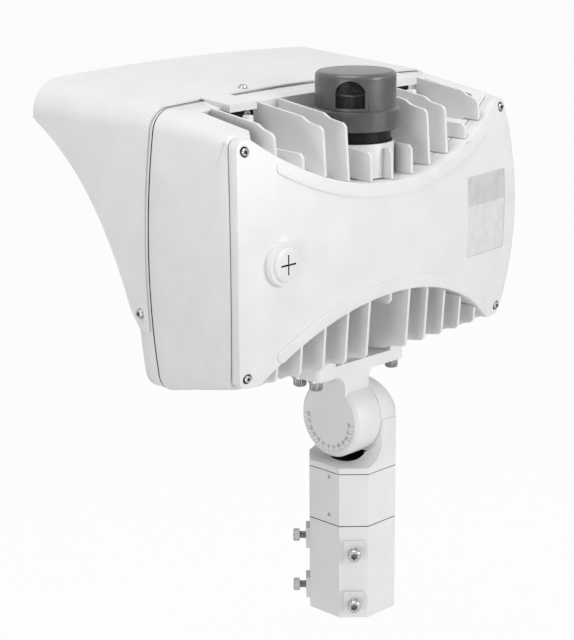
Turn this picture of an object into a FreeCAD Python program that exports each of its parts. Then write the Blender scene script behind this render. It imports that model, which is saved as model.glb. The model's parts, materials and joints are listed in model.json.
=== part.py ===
import FreeCAD, Part
import os
import re
import Sketcher

# A pole-top LED flood light: a finned, hourglass-backed head with a glare visor and a
# twist-lock photocell, carried by a tilting knuckle on an octagonal slip fitter.
# Millimetres. The origin is the centre of the slip fitter's mouth, +Z runs up its bore,
# the light shines towards -Y, and the rear cover faces +Y.

SIZES = {
    # How far a solid runs into one that it joins or cuts, and a depth that goes right through
    "overlap": 1.0,
    "through": 60.0,
    # Shares of a screw head that its upright brim and its flat top take
    "screw_brim": 0.45,
    "screw_crown": 0.6,
    # Slip fitter, an octagon with four wide and four narrow faces
    "fitter_flat": 40.7,
    "fitter_face": 20.1,
    "fitter_height": 98.0,
    "fitter_roof": 12.0,
    "bore_radius": 30.6,
    "wire_radius": 10.0,
    "collar_height": 55.8,
    "collar_wall": 9.0,
    "collar_end": 8.0,
    "seam_height": 0.8,
    "seam_depth": 0.9,
    "joint_bolt_radius": 3.0,
    "joint_bolt_head_radius": 5.0,
    "joint_bolt_head_height": 5.0,
    "joint_bolt_reach": 4.6,
    "joint_bolt_sink": 5.5,
    "joint_bolt_circle": 22.0,
    # Set screws that grip the tenon
    "set_boss_width": 20.0,
    "set_boss_height": 22.0,
    "set_boss_reach": 4.0,
    "set_boss_root": 3.0,
    "set_screw_gap": 0.5,
    "set_screw_low": 18.5,
    "set_screw_high": 73.0,
    "set_shank_radius": 4.0,
    "set_head_flats": 13.0,
    "set_head_height": 6.5,
    "set_head_stand": 6.6,
    "thread_clearance": 0.05,
    # Knuckle
    "pivot_rise": 50.9,
    "disc_radius": 38.7,
    "disc_thickness": 34.2,
    "disc_chamfer": 3.5,
    "knuckle_gap": 0.3,
    "saddle_gap": 3.5,
    "foot_height": 6.0,
    "foot_cove": 24.0,
    "neck_half_width": 22.0,
    "plate_rise": 50.3,
    "plate_thickness": 12.0,
    "plate_half_length": 63.0,
    "plate_half_width": 22.0,
    "plate_flare": 14.0,
    "plate_corner": 7.0,
    "arm_dome_radius": 39.2,
    "pivot_bolt_radius": 6.0,
    "pivot_bolt_depth": 27.0,
    "pivot_head_flats": 18.0,
    "pivot_head_height": 7.5,
    "pivot_washer_radius": 12.0,
    "pivot_washer_thickness": 2.5,
    "pivot_clearance": 0.1,
    # Bolts between the bracket plate and the housing
    "bracket_bolt_x": 55.0,
    "bracket_bolt_y": 10.9,
    "bracket_bolt_radius": 4.0,
    "bracket_bolt_head_radius": 6.5,
    "bracket_bolt_head_height": 8.0,
    "bracket_bolt_grip": 12.0,
    "bracket_washer_radius": 8.0,
    "bracket_washer_thickness": 2.2,
    "bolt_clearance": 0.3,
    # Head outline at the front flange and at the rear cover
    "head_offset": 8.8,
    "head_rise": 124.0,
    "front_half_width": 202.6,
    "front_half_height": 138.4,
    "front_side_bow": 12.0,
    "front_top_bow": 4.7,
    "front_corner": 22.0,
    "rear_side_taper": 5.4,
    "rear_top_taper": 22.9,
    "rear_side_bow": 10.8,
    "rear_top_bow": 2.0,
    "rear_corner": 10.0,
    "cover_shift": 3.5,
    # Depths of the housing, measured from the pivot
    "flange_front": 60.0,
    "base_front": 50.0,
    "base_back": 36.0,
    "hull_margin": 4.0,
    "slab_margin": 20.0,
    "box_wall": 4.5,
    "recess_inset": 8.0,
    # Waist of the hourglass
    "waist_top": 55.5,
    "waist_top_radius": 284.0,
    "waist_low": 51.5,
    "waist_low_radius": 249.0,
    # Fins
    "fin_pitch": 28.67,
    "fin_thickness": 3.0,
    "fin_reach": 59.6,
    "fin_front_top": 129.8,
    "fin_front_y": 33.0,
    "fin_step_top": 122.3,
    "fin_step_y": 24.0,
    "fin_step_low": 117.9,
    "fin_step_end_y": 32.0,
    "fin_rear_top": 115.3,
    "fin_slant": 6.5,
    "fin_corner": 3.5,
    "fin_gap": 1.2,
    "fin_root_end": 28.0,
    "short_fin_top": 96.5,
    "short_fin_drop": 2.0,
    "middle_fin_top": 87.0,
    "middle_fin_low": 68.0,
    # Housing details
    "post_radius": 5.0,
    "post_y": 18.0,
    "post_drop": 8.0,
    "tab_inner": 96.0,
    "tab_outer": 131.0,
    "tab_front_rise": 0.6,
    "tab_back_rise": -2.4,
    "tab_back": 25.0,
    "tab_thickness": 1.6,
    "tab_reach": 3.9,
    "tab_front_depth": 5.0,
    "tab_back_depth": 7.0,
    "pad_inner": 40.0,
    "pad_margin": 1.0,
    "pad_height": 24.0,
    "end_block_width": 46.6,
    "end_block_back": 21.0,
    "end_block_toe": 9.0,
    "end_block_low": 100.0,
    "crease_depth": 1.0,
    "crease_width": 6.0,
    "crease_top_lean": 0.88,
    "crease_low_lean": 0.12,
    "crease_top": 111.0,
    "crease_top_y": 32.0,
    "crease_middle": 20.0,
    "crease_middle_y": 8.5,
    "crease_low": 92.0,
    "crease_low_y": 35.0,
    "cup_radius": 37.0,
    "cup_top": 89.5,
    "cup_wall": 5.0,
    "cup_floor": 62.0,
    "cell_clearance": 1.5,
    # Rear cover
    "cover_seam": 42.5,
    "cover_face": 67.7,
    "crown_wide": 1319.0,
    "crown_tall": 523.0,
    "crown_reach": 1.2,
    "crown_sweep": 64.0,
    "cover_root": 30.0,
    "cover_wall": 3.5,
    "cover_band": 13.0,
    "cover_band_rise": 1.2,
    "cover_band_side": 53.7,
    "cover_band_round": 0.55,
    "cover_gasket": 1.2,
    "gasket_inset": 1.0,
    "gasket_width": 3.0,
    "gasket_fit": 0.15,
    "cover_screw_side": 17.2,
    "cover_screw_top": 11.8,
    "cover_screw_radius": 2.4,
    "cover_screw_head_radius": 4.6,
    "cover_screw_head_height": 3.0,
    "cover_screw_sink": 1.6,
    "cover_screw_length": 24.0,
    "boss_radius": 7.0,
    # Closure plug
    "plug_side": 49.7,
    "plug_boss_radius": 20.0,
    "plug_boss_rise": 3.6,
    "plug_head_radius": 15.5,
    "plug_head_height": 3.0,
    "plug_thread_radius": 11.0,
    "plug_thread_length": 12.0,
    "plug_seal_width": 2.8,
    "plug_seal_depth": 2.4,
    "plug_seal_fit": 0.05,
    "plug_chamfer": 1.0,
    "plug_slot_width": 2.4,
    "plug_slot_length": 19.0,
    "plug_slot_depth": 1.8,
    # Front frame and glass
    "frame_gasket": 1.8,
    "frame_gasket_inset": 0.4,
    "frame_step": 0.5,
    "frame_depth": 18.5,
    "frame_wall": 4.5,
    "frame_lip": 28.0,
    "frame_lip_thickness": 3.5,
    "glass_thickness": 4.0,
    "glass_inset": 19.0,
    "glass_corner": 9.0,
    "lens_gasket": 1.5,
    "lens_clip_width": 14.0,
    "lens_clip_length": 20.0,
    "lens_clip_thickness": 1.5,
    "lens_clip_z": 60.0,
    "lens_clip_screw_radius": 1.5,
    "lens_clip_screw_head_radius": 3.0,
    "lens_clip_screw_head_height": 2.0,
    "lens_clip_screw_length": 6.0,
    "frame_screw_fin": 3.5,
    "frame_screw_radius": 2.5,
    "frame_screw_head_radius": 4.2,
    "frame_screw_head_height": 3.2,
    "frame_screw_margin": 5.0,
    "frame_boss_radius": 6.0,
    # Visor
    "visor_back": 64.4,
    "visor_front": 228.0,
    "visor_wall": 1.6,
    "visor_low": 90.0,
    "visor_back_low_in": 3.6,
    "visor_back_top_in": 10.1,
    "visor_back_rise": -2.4,
    "visor_back_bow": 7.9,
    "visor_back_top_bow": 4.5,
    "visor_back_corner": 24.0,
    "visor_front_low_in": 1.6,
    "visor_front_top_in": 2.6,
    "visor_front_rise": 7.6,
    "visor_front_bow": 1.5,
    "visor_front_top_bow": 6.0,
    "visor_front_corner": 33.0,
    "visor_front_edge": 112.7,
    "visor_sweep_start_y": 220.0,
    "visor_sweep_start": 106.4,
    "visor_sweep_end_y": 89.2,
    "visor_sweep_end": 55.5,
    "visor_sweep_radius": 282.0,
    "visor_foot_y": 77.5,
    "visor_foot": 73.0,
    "visor_screw_side": 56.5,
    "visor_screw_top_x": 66.0,
    "visor_screw_y": 75.0,
    "visor_screw_radius": 2.0,
    "visor_screw_head_radius": 4.2,
    "visor_screw_head_height": 2.6,
    "visor_screw_length": 8.0,
    "seat_gap": 0.5,
    # Light engine
    "board_side": 34.6,
    "board_middle": 12.0,
    "board_top": 40.4,
    "board_thickness": 1.6,
    "led_size": 7.0,
    "led_height": 1.4,
    "led_pitch_x": 50.0,
    "led_pitch_z": 47.0,
    "optic_thickness": 2.0,
    "optic_stand": 3.0,
    "lens_base_radius": 11.0,
    "lens_tip_radius": 7.0,
    "lens_height": 6.0,
    "board_screw_radius": 1.5,
    "board_screw_head_radius": 3.0,
    "board_screw_head_height": 1.8,
    "board_screw_grip": 3.5,
    "board_screw_inset": 5.0,
    "optic_leg_radius": 4.0,
    # Driver compartment
    "driver_half_length": 88.0,
    "driver_half_height": 31.0,
    "driver_depth": 34.0,
    "driver_ear": 10.0,
    "driver_ear_thickness": 3.0,
    "surge_x": 138.0,
    "surge_half_width": 24.0,
    "surge_half_height": 18.0,
    "surge_depth": 28.0,
    "terminal_x": 132.0,
    "terminal_half_width": 20.0,
    "terminal_half_height": 11.0,
    "terminal_depth": 16.0,
    "terminal_screw_radius": 3.0,
    "terminal_pitch": 12.4,
    "terminal_well": 9.6,
    "inner_screw_radius": 2.0,
    "inner_screw_head_radius": 3.8,
    "inner_screw_head_height": 2.4,
    "inner_screw_length": 7.0,
    # Photocell and its receptacle
    "cell_y": 10.9,
    "receptacle_radius": 34.0,
    "receptacle_rise": 11.0,
    "receptacle_stem_radius": 29.0,
    "receptacle_stem": 18.0,
    "receptacle_gasket": 1.0,
    "slot_inner": 11.5,
    "slot_outer": 19.5,
    "slot_depth": 20.0,
    "slot_sweep": 66.0,
    "slot_lead": 18.0,
    "cell_skirt_radius": 42.0,
    "cell_skirt_height": 18.0,
    "cell_shoulder": 1.5,
    "cell_body_radius": 38.8,
    "cell_height": 53.6,
    "cell_round": 5.0,
    "cell_wall": 2.4,
    "cell_base_thickness": 5.0,
    "cell_fit": 0.3,
    "blade_radius": 15.5,
    "blade_width": 7.0,
    "blade_thickness": 1.8,
    "blade_length": 14.0,
    "blade_tail": 5.0,
    "window_half_width": 14.0,
    "window_sill": 22.0,
    "window_height": 30.0,
    "window_arch": 1.06,
    "window_turn": 35.0,
    "window_thickness": 1.6,
    "window_inset": 0.4,
    "window_fit": 0.2,
    "window_frame": 2.4,
    "window_frame_rise": 1.2,
    "circuit_half_length": 26.0,
    "circuit_half_width": 20.0,
    "circuit_thickness": 1.6,
    "circuit_height": 32.0,
    "pillar_radius": 2.5,
    "pillar_inset": 4.0,
    "sensor_radius": 2.5,
    "sensor_height": 6.0,
    "sensor_reach": 20.0,
    "relay_half_width": 7.5,
    "relay_height": 12.0,
    "capacitor_radius": 5.0,
    "capacitor_height": 14.0,
    "circuit_part_offset": 11.0,
    "capacitor_x": 4.0,
}

# Sizes that follow from others, so that the head keeps together when its front flange changes
TIED_SIZES = {
    "rear_half_width": "front_half_width - rear_side_taper",
    "rear_half_height": "front_half_height - rear_top_taper",
    "end_block_x": "front_half_width - end_block_width",
    "cover_band_end": "rear_half_width - cover_band_side",
    "cover_screw_x": "rear_half_width - cover_screw_side",
    "cover_screw_z": "rear_half_height - cover_screw_top",
    "plug_x": "rear_half_width - plug_side",
    "board_x": "(front_half_width - board_side + board_middle) / 2",
    "board_half_width": "(front_half_width - board_side - board_middle) / 2",
    "board_half_height": "front_half_height - board_top",
}

# Places that several pieces share, as text for the sheet's expressions
COLLAR_TOP = "(fitter_height + collar_height)"
PIVOT_Z = f"({COLLAR_TOP} + pivot_rise)"
PLATE_LOW = f"({PIVOT_Z} + plate_rise)"
PLATE_TOP = f"({PLATE_LOW} + plate_thickness)"
HEAD_Z = f"({PLATE_TOP} + head_rise)"
COVER_Z = f"({HEAD_Z} + cover_shift)"
NARROW_FACE = "((fitter_flat + fitter_face) * sqrt(2) / 2)"
SEAM_BACK = "(cover_seam + cover_gasket)"
HULL_BACK = "(cover_seam + hull_margin)"
FRAME_WIDE = "(front_half_width - frame_step)"
FRAME_TALL = "(front_half_height - frame_step)"
FRAME_CORNER = "(front_corner - frame_step)"
FRAME_BACK = "(flange_front + frame_gasket)"
FRAME_FRONT = f"({FRAME_BACK} + frame_depth)"
GLASS_FRONT = f"({FRAME_FRONT} - frame_lip_thickness - lens_gasket)"
GLASS_BACK = f"({GLASS_FRONT} - glass_thickness)"
PLUG_FACE = "(cover_face - plug_x ^ 2 / (2 * crown_wide))"
PLUG_SEAT = f"({PLUG_FACE} + plug_boss_rise)"
CUP_TOP_Z = f"({COVER_Z} + cup_top)"
RECEPTACLE_TOP = f"({CUP_TOP_Z} + receptacle_gasket + receptacle_rise)"
CELL_Z = f"({RECEPTACLE_TOP} + knuckle_gap)"
SCREW_DROP = "(cover_screw_x ^ 2 / (2 * crown_wide) + cover_screw_z ^ 2 / (2 * crown_tall))"
SCREW_FACE = f"(cover_face - {SCREW_DROP})"

AXIS_X = FreeCAD.Vector(1, 0, 0)
AXIS_Y = FreeCAD.Vector(0, 1, 0)
AXIS_Z = FreeCAD.Vector(0, 0, 1)
PLANES = {
    "XY": FreeCAD.Rotation(),
    "XZ": FreeCAD.Rotation(AXIS_X, 90),
    "YZ": FreeCAD.Rotation(FreeCAD.Vector(1, 1, 1), 120),
}
SIDES = {"left": 1, "right": -1}
DIAGONALS = {
    "rear": FreeCAD.Vector(1, 1, 0),
    "front": FreeCAD.Vector(1, -1, 0),
}

doc = FreeCAD.newDocument("FloodLight")
sheet = doc.addObject("Spreadsheet::Sheet", "sizes")
cells = {alias: str(size) for alias, size in SIZES.items()}
cells.update({alias: f"={formula}" for alias, formula in TIED_SIZES.items()})
for row, (alias, content) in enumerate(cells.items(), start=1):
    sheet.set(f"A{row}", alias)
    sheet.set(f"B{row}", content)
    sheet.setAlias(f"B{row}", alias)
doc.recompute()

nodes = []


# Expressions

def bound(text):
    """Turn plain size names in an expression into references to the sheet."""
    def refer(word):
        name = word.group()
        return f"sizes.{name}" if name in cells else name
    return re.sub(r"[a-z_]+", refer, str(text))


def value(text):
    """The number that an expression has now."""
    return float(sheet.evalExpression(bound(text)))


def bind(item, **properties):
    """Tie properties of an object to expressions."""
    for name, text in properties.items():
        item.setExpression(name, bound(text))


def place(item, at, rotation=None):
    """Put an object at a place given by three expressions."""
    if rotation is not None:
        item.Placement = FreeCAD.Placement(FreeCAD.Vector(), rotation)
    for axis, text in zip("xyz", at):
        item.setExpression(f"Placement.Base.{axis}", bound(text))


def node(item, name):
    """Name a finished sub-part."""
    item.Label = name
    nodes.append(item)
    return item


# Solids

def box(name, x, y, z):
    """A block between pairs of expressions along each axis."""
    solid = doc.addObject("Part::Box", name)
    bind(solid,
         Length=f"({x[1]}) - ({x[0]})",
         Width=f"({y[1]}) - ({y[0]})",
         Height=f"({z[1]}) - ({z[0]})")
    place(solid, (x[0], y[0], z[0]))
    return solid


def cylinder(name, radius, length, at, along=AXIS_Z):
    """A rod that starts at a place and runs along a direction."""
    rod = doc.addObject("Part::Cylinder", name)
    bind(rod, Radius=radius, Height=length)
    place(rod, at, FreeCAD.Rotation(AXIS_Z, along))
    return rod


def fuse(name, pieces):
    """Join solids into one."""
    joined = doc.addObject("Part::MultiFuse", name)
    joined.Shapes = pieces
    joined.Refine = True
    return joined


def common(name, pieces):
    """Keep what solids share."""
    shared = doc.addObject("Part::MultiCommon", name)
    shared.Shapes = pieces
    shared.Refine = True
    return shared


def cut(name, base, tools):
    """Take one or more solids out of another."""
    tool = tools[0] if len(tools) == 1 else fuse(f"{name}_tools", tools)
    rest = doc.addObject("Part::Cut", name)
    rest.Base = base
    rest.Tool = tool
    rest.Refine = True
    return rest


def group(name, pieces):
    """Keep separate solids together, as a set of like pieces."""
    together = doc.addObject("Part::Compound", name)
    together.Links = pieces
    return together


def trace(sketch, corners):
    """Draw a closed outline in a sketch and tie every corner to the sheet.

    A corner is (across, up) or (across, up, radius): the radius makes the edge to the next
    corner an arc, turning left when it is positive and right when it is negative.
    """
    spots = [FreeCAD.Vector(value(corner[0]), value(corner[1]), 0) for corner in corners]
    ends = []
    for index, corner in enumerate(corners):
        start = spots[index]
        finish = spots[(index + 1) % len(spots)]
        if len(corner) < 3:
            sketch.addGeometry(Part.LineSegment(start, finish), False)
            ends.append((1, 2))
            continue
        radius = value(corner[2])
        chord = finish - start
        left = FreeCAD.Vector(-chord.y, chord.x, 0).normalize()
        sagitta = abs(radius) - (radius ** 2 - chord.Length ** 2 / 4) ** 0.5
        bulge = -sagitta if radius > 0 else sagitta
        middle = (start + finish) * 0.5 + left * bulge
        arc = Part.Arc(start, middle, finish)
        sketch.addGeometry(arc, False)
        ends.append((1, 2) if radius > 0 else (2, 1))
    for index, corner in enumerate(corners):
        after = (index + 1) % len(corners)
        sketch.addConstraint(Sketcher.Constraint("Coincident", index, ends[index][1], after, ends[after][0]))
        for kind, text in (("DistanceX", corner[0]), ("DistanceY", corner[1])):
            mark = Sketcher.Constraint(kind, -1, 1, index, ends[index][0], value(text))
            number = sketch.addConstraint(mark)
            sketch.setExpression(f"Constraints[{number}]", bound(text))
        if len(corner) == 3:
            number = sketch.addConstraint(Sketcher.Constraint("Radius", index, abs(value(corner[2]))))
            sketch.setExpression(f"Constraints[{number}]", bound(f"abs({corner[2]})"))
    return sketch


def outline(name, plane, at, corners):
    """A sketch on a main plane, moved to a place."""
    sketch = doc.addObject("Sketcher::SketchObject", name)
    place(sketch, at, PLANES[plane])
    return trace(sketch, corners)


def round_rectangle(wide, front, back, corner):
    """Corners of a rectangle about the origin, rounded off in plan."""
    wide = f"({wide})"
    front = f"(-({front}))"
    back = f"({back})"
    in_wide = f"({wide} - {corner})"
    in_front = f"({front} + {corner})"
    in_back = f"({back} - {corner})"
    return [(in_wide, front, corner), (wide, in_front), (wide, in_back, corner), (in_wide, back),
            (f"-{in_wide}", back, corner), (f"-{wide}", in_back), (f"-{wide}", in_front, corner),
            (f"-{in_wide}", front)]


def extrude(name, sketch, along, length):
    """A solid pulled from a sketch along a direction."""
    solid = doc.addObject("Part::Extrusion", name)
    solid.Base = sketch
    solid.DirMode = "Custom"
    solid.Dir = along
    solid.Solid = True
    bind(solid, LengthFwd=length)
    return solid


def body_sketch(body, role, name, corners=None, circle=None):
    """A sketch on one of a body's own planes, with an outline or a circle."""
    sketch = body.newObject("Sketcher::SketchObject", name)
    plane = next(item for item in body.Origin.OriginFeatures if item.Role == role)
    sketch.AttachmentSupport = [(plane, "")]
    sketch.MapMode = "FlatFace"
    if corners:
        return trace(sketch, corners)
    sketch.addGeometry(Part.Circle(FreeCAD.Vector(), AXIS_Z, value(circle)), False)
    sketch.addConstraint(Sketcher.Constraint("Coincident", 0, 3, -1, 1))
    number = sketch.addConstraint(Sketcher.Constraint("Radius", 0, value(circle)))
    sketch.setExpression(f"Constraints[{number}]", bound(circle))
    return sketch


def turned(name, profile, at, along=AXIS_Z, sweep="360"):
    """A body of revolution: the profile gives (radius, height) about its axis."""
    body = doc.addObject("PartDesign::Body", name)
    sketch = body_sketch(body, "XZ_Plane", f"{name}_profile", corners=profile)
    spin = body.newObject("PartDesign::Revolution", f"{name}_turn")
    spin.Profile = sketch
    spin.ReferenceAxis = (sketch, ["V_Axis"])
    bind(spin, Angle=sweep)
    place(body, at, FreeCAD.Rotation(AXIS_Z, along))
    return body


def hexagon(flats):
    """Corners of a hexagon by its width across flats."""
    point = f"({flats}) / sqrt(3)"
    half = f"({flats}) / 2"
    return [(point, "0"), (f"{point} / 2", half), (f"-{point} / 2", half),
            (f"-{point}", "0"), (f"-{point} / 2", f"-{half}"), (f"{point} / 2", f"-{half}")]


def hex_bolt(name, flats, head, radius, length, at, along):
    """A bolt whose hexagon head stands on the seat and whose shank goes back from it."""
    body = doc.addObject("PartDesign::Body", name)
    top = body.newObject("PartDesign::Pad", f"{name}_head")
    top.Profile = body_sketch(body, "XY_Plane", f"{name}_hexagon", corners=hexagon(flats))
    bind(top, Length=head)
    shank = body.newObject("PartDesign::Pad", f"{name}_shank")
    shank.Profile = body_sketch(body, "XY_Plane", f"{name}_circle", circle=radius)
    shank.Reversed = True
    bind(shank, Length=length)
    place(body, at, FreeCAD.Rotation(AXIS_Z, along))
    return body


def screw(name, head_radius, head, radius, length, at, along):
    """A screw whose head stands on the seat and slopes in towards a flat top."""
    profile = [("0", f"-({length})"), (radius, f"-({length})"), (radius, "0"), (head_radius, "0"),
               (head_radius, f"({head}) * screw_brim"), (f"({head_radius}) * screw_crown", head), ("0", head)]
    return turned(name, profile, at, along)


def washer(name, inner, outer, thickness, at, along):
    """A flat ring."""
    profile = [(inner, "0"), (outer, "0"), (outer, thickness), (inner, thickness)]
    return turned(name, profile, at, along)


def beside(side, distance):
    """An expression for a place to one side of the head's centre plane."""
    return f"head_offset + ({side}) * ({distance})"


def span(side, near, far):
    """The lower and upper ends across the head of a stretch to one side of its centre plane."""
    ends = beside(side, near), beside(side, far)
    return ends if side > 0 else ends[::-1]


# Slip fitter, collar and set screws

def octagon(name, low, height, inset="0"):
    """An upright prism with the slip fitter's section."""
    wide = f"(fitter_flat - ({inset}))"
    narrow = f"(fitter_face - ({inset}) * (sqrt(2) - 1))"
    corners = [(wide, f"-{narrow}"), (wide, narrow), (narrow, wide), (f"-{narrow}", wide),
               (f"-{wide}", narrow), (f"-{wide}", f"-{narrow}"), (f"-{narrow}", f"-{wide}"),
               (narrow, f"-{wide}")]
    return extrude(name, outline(f"{name}_section", "XY", ("0", "0", low), corners), AXIS_Z, height)


def diagonal(side, distance):
    """The place at a distance from the axis along a narrow face's normal."""
    sign = 1 if DIAGONALS[side].y > 0 else -1
    return f"({distance}) * sqrt(2) / 2", f"({sign}) * ({distance}) * sqrt(2) / 2"


SET_SCREWS = {
    "set_screw_rear_low": ("rear", "set_screw_low"),
    "set_screw_rear_high": ("rear", "set_screw_high"),
    "set_screw_front_low": ("front", "set_screw_low"),
    "set_screw_front_high": ("front", "set_screw_high"),
}
JOINT_BOLTS = [(1, 0), (0, 1), (-1, 0), (0, -1)]


def joint_bolt_places(height):
    """The four bolts that hold fitter, collar and arm together, at a height."""
    for index, (x, y) in enumerate(JOINT_BOLTS):
        yield index, (f"{x} * joint_bolt_circle", f"{y} * joint_bolt_circle", height)


def set_boss(name, side, height):
    """A raised pad on a narrow face, around a set screw."""
    root = f"{NARROW_FACE} - set_boss_root"
    face = f"{NARROW_FACE} + set_boss_reach"
    half = "set_boss_width / 2"
    pad = outline(f"{name}_boss_outline", "XY", ("0", "0", f"{height} - set_boss_height / 2"),
                  [(root, f"-{half}"), (face, f"-{half}"), (face, half), (root, half)])
    pad.Placement.Rotation = FreeCAD.Rotation(AXIS_X, DIAGONALS[side])
    return extrude(f"{name}_boss", pad, AXIS_Z, "set_boss_height")


def slip_fitter():
    solids = [octagon("fitter_block", "0", "fitter_height")]
    holes = [cylinder("fitter_bore", "bore_radius", "fitter_height - fitter_roof", ("0", "0", "0")),
             cylinder("fitter_wire_hole", "wire_radius", "fitter_height", ("0", "0", "0"))]
    for name, (side, height) in SET_SCREWS.items():
        solids.append(set_boss(name, side, height))
        x, y = diagonal(side, "bore_radius / 2")
        holes.append(cylinder(f"{name}_hole", "set_shank_radius + thread_clearance", "through",
                              (x, y, height), DIAGONALS[side]))
    for index, spot in joint_bolt_places("fitter_height - fitter_roof - overlap"):
        holes.append(cylinder(f"fitter_bolt_hole_{index}", "joint_bolt_radius + bolt_clearance",
                              "fitter_roof + 2 * overlap", spot))
        holes.append(cylinder(f"fitter_bolt_sink_{index}", "joint_bolt_head_radius + bolt_clearance",
                              "joint_bolt_sink + overlap", spot))
    node(cut("fitter_cut", fuse("fitter_solid", solids), holes), "slip_fitter")


def extension_collar():
    """A hollow octagon, stepped in at both ends so that its joints show as fine lines."""
    core = octagon("collar_core", "fitter_height", "collar_height", "seam_depth")
    wall = octagon("collar_block", "fitter_height + seam_height", "collar_height - 2 * seam_height")
    hollow = octagon("collar_hollow", "fitter_height + collar_end", "collar_height - 2 * collar_end",
                     "collar_wall")
    holes = [hollow,
             cylinder("collar_wire_hole", "wire_radius", "collar_height", ("0", "0", "fitter_height"))]
    for index, spot in joint_bolt_places("fitter_height"):
        holes.append(cylinder(f"collar_bolt_hole_{index}", "joint_bolt_radius + bolt_clearance",
                              "collar_height", spot))
    node(cut("collar_cut", fuse("collar_solid", [core, wall]), holes), "extension_collar")


def joint_bolts():
    length = "fitter_roof - joint_bolt_sink + collar_height + joint_bolt_reach"
    bolts = [screw(f"joint_bolt_{index}", "joint_bolt_head_radius", "joint_bolt_head_height",
                   "joint_bolt_radius", length, spot, -AXIS_Z)
             for index, spot in joint_bolt_places("fitter_height - fitter_roof + joint_bolt_sink")]
    node(group("joint_bolt_set", bolts), "fitter_joint_bolts")


def set_screws():
    stand = f"{NARROW_FACE} + set_boss_reach + set_head_stand"
    for name, (side, height) in SET_SCREWS.items():
        x, y = diagonal(side, stand)
        node(hex_bolt(f"{name}_bolt", "set_head_flats", "set_head_height", "set_shank_radius",
                      f"{stand} - bore_radius - set_screw_gap", (x, y, height), DIAGONALS[side]), name)


# Knuckle

def knuckle_arm():
    """Half a column with a low foot and a cove between them, hollowed round the bracket's disc."""
    inner = "(-knuckle_gap / 2)"
    foot = f"({COLLAR_TOP} + foot_height)"
    top = f"({PIVOT_Z} + fitter_flat)"
    dome = common("arm_dome", [
        octagon("arm_dome_prism", PIVOT_Z, "fitter_flat"),
        cylinder("arm_dome_rod", "arm_dome_radius", "2 * fitter_flat",
                 ("-fitter_flat", "0", PIVOT_Z), AXIS_X)])
    column = fuse("arm_column", [octagon("arm_upright", COLLAR_TOP, "pivot_rise"), dome])
    side = outline("arm_side_outline", "XZ", ("0", "fitter_flat", "0"), [
        ("-fitter_flat", COLLAR_TOP), ("fitter_flat", COLLAR_TOP), ("fitter_flat", foot),
        (f"{inner} + foot_cove", foot, "-foot_cove"), (inner, f"{foot} + foot_cove"),
        (inner, top), ("-fitter_flat", top)])
    arm = common("arm_half", [column, extrude("arm_side", side, -AXIS_Y, "2 * fitter_flat")])
    holes = [cylinder("arm_saddle", "disc_radius + saddle_gap", "2 * fitter_flat",
                      (inner, "0", PIVOT_Z), AXIS_X),
             cylinder("arm_pivot_hole", "pivot_bolt_radius + pivot_clearance", "2 * fitter_flat",
                      ("-2 * fitter_flat", "0", PIVOT_Z), AXIS_X)]
    for index, spot in joint_bolt_places(COLLAR_TOP):
        holes.append(cylinder(f"arm_bolt_hole_{index}", "joint_bolt_radius + thread_clearance",
                              "joint_bolt_reach + bolt_clearance", spot))
    node(cut("arm_cut", arm, holes), "knuckle_arm")


def tilt_bracket():
    face = "knuckle_gap / 2"
    outside = f"{face} + disc_thickness"
    disc = turned("bracket_disc", [("0", "0"), ("disc_radius", "0"),
                                   ("disc_radius", "disc_thickness - disc_chamfer"),
                                   ("disc_radius - disc_chamfer", "disc_thickness"), ("0", "disc_thickness")],
                  (face, "0", PIVOT_Z), AXIS_X)
    neck = box("bracket_neck", (face, outside), ("-neck_half_width", "neck_half_width"),
               (PIVOT_Z, f"{PLATE_LOW} + overlap"))
    inside_flare = "(plate_rise - arm_dome_radius - saddle_gap / 2)"
    flare = outline("bracket_flare_outline", "XZ", ("0", "neck_half_width", PLATE_LOW), [
        (face, f"-{inside_flare}"), (face, "-plate_flare"),
        (outside, "-plate_flare", "-plate_flare"), (f"{outside} + plate_flare", "0"),
        (f"{outside} + plate_flare", "overlap"), (f"{face} - {inside_flare}", "overlap"),
        (f"{face} - {inside_flare}", "0", f"-{inside_flare}")])
    gusset = extrude("bracket_flare", flare, -AXIS_Y, "2 * neck_half_width")
    plate = extrude("bracket_plate", outline(
        "bracket_plate_outline", "XY", ("head_offset", "0", PLATE_LOW),
        round_rectangle("plate_half_length", "plate_half_width", "plate_half_width", "plate_corner")),
        AXIS_Z, "plate_thickness")
    holes = [cylinder("bracket_pivot_hole", "pivot_bolt_radius + pivot_clearance",
                      "pivot_bolt_depth + overlap", (face, "0", PIVOT_Z), AXIS_X)]
    for name, x, y in bracket_bolt_places():
        holes.append(cylinder(f"bracket_hole_{name}", "bracket_bolt_radius + bolt_clearance",
                              "plate_thickness + 2 * overlap", (x, y, f"{PLATE_LOW} - overlap")))
    node(cut("bracket_cut", fuse("bracket_solid", [disc, neck, gusset, plate]), holes), "tilt_bracket")


def bracket_bolt_places():
    for side_name, side in SIDES.items():
        for end_name, end in (("front", -1), ("rear", 1)):
            yield f"{side_name}_{end_name}", beside(side, "bracket_bolt_x"), f"{end} * bracket_bolt_y"


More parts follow.
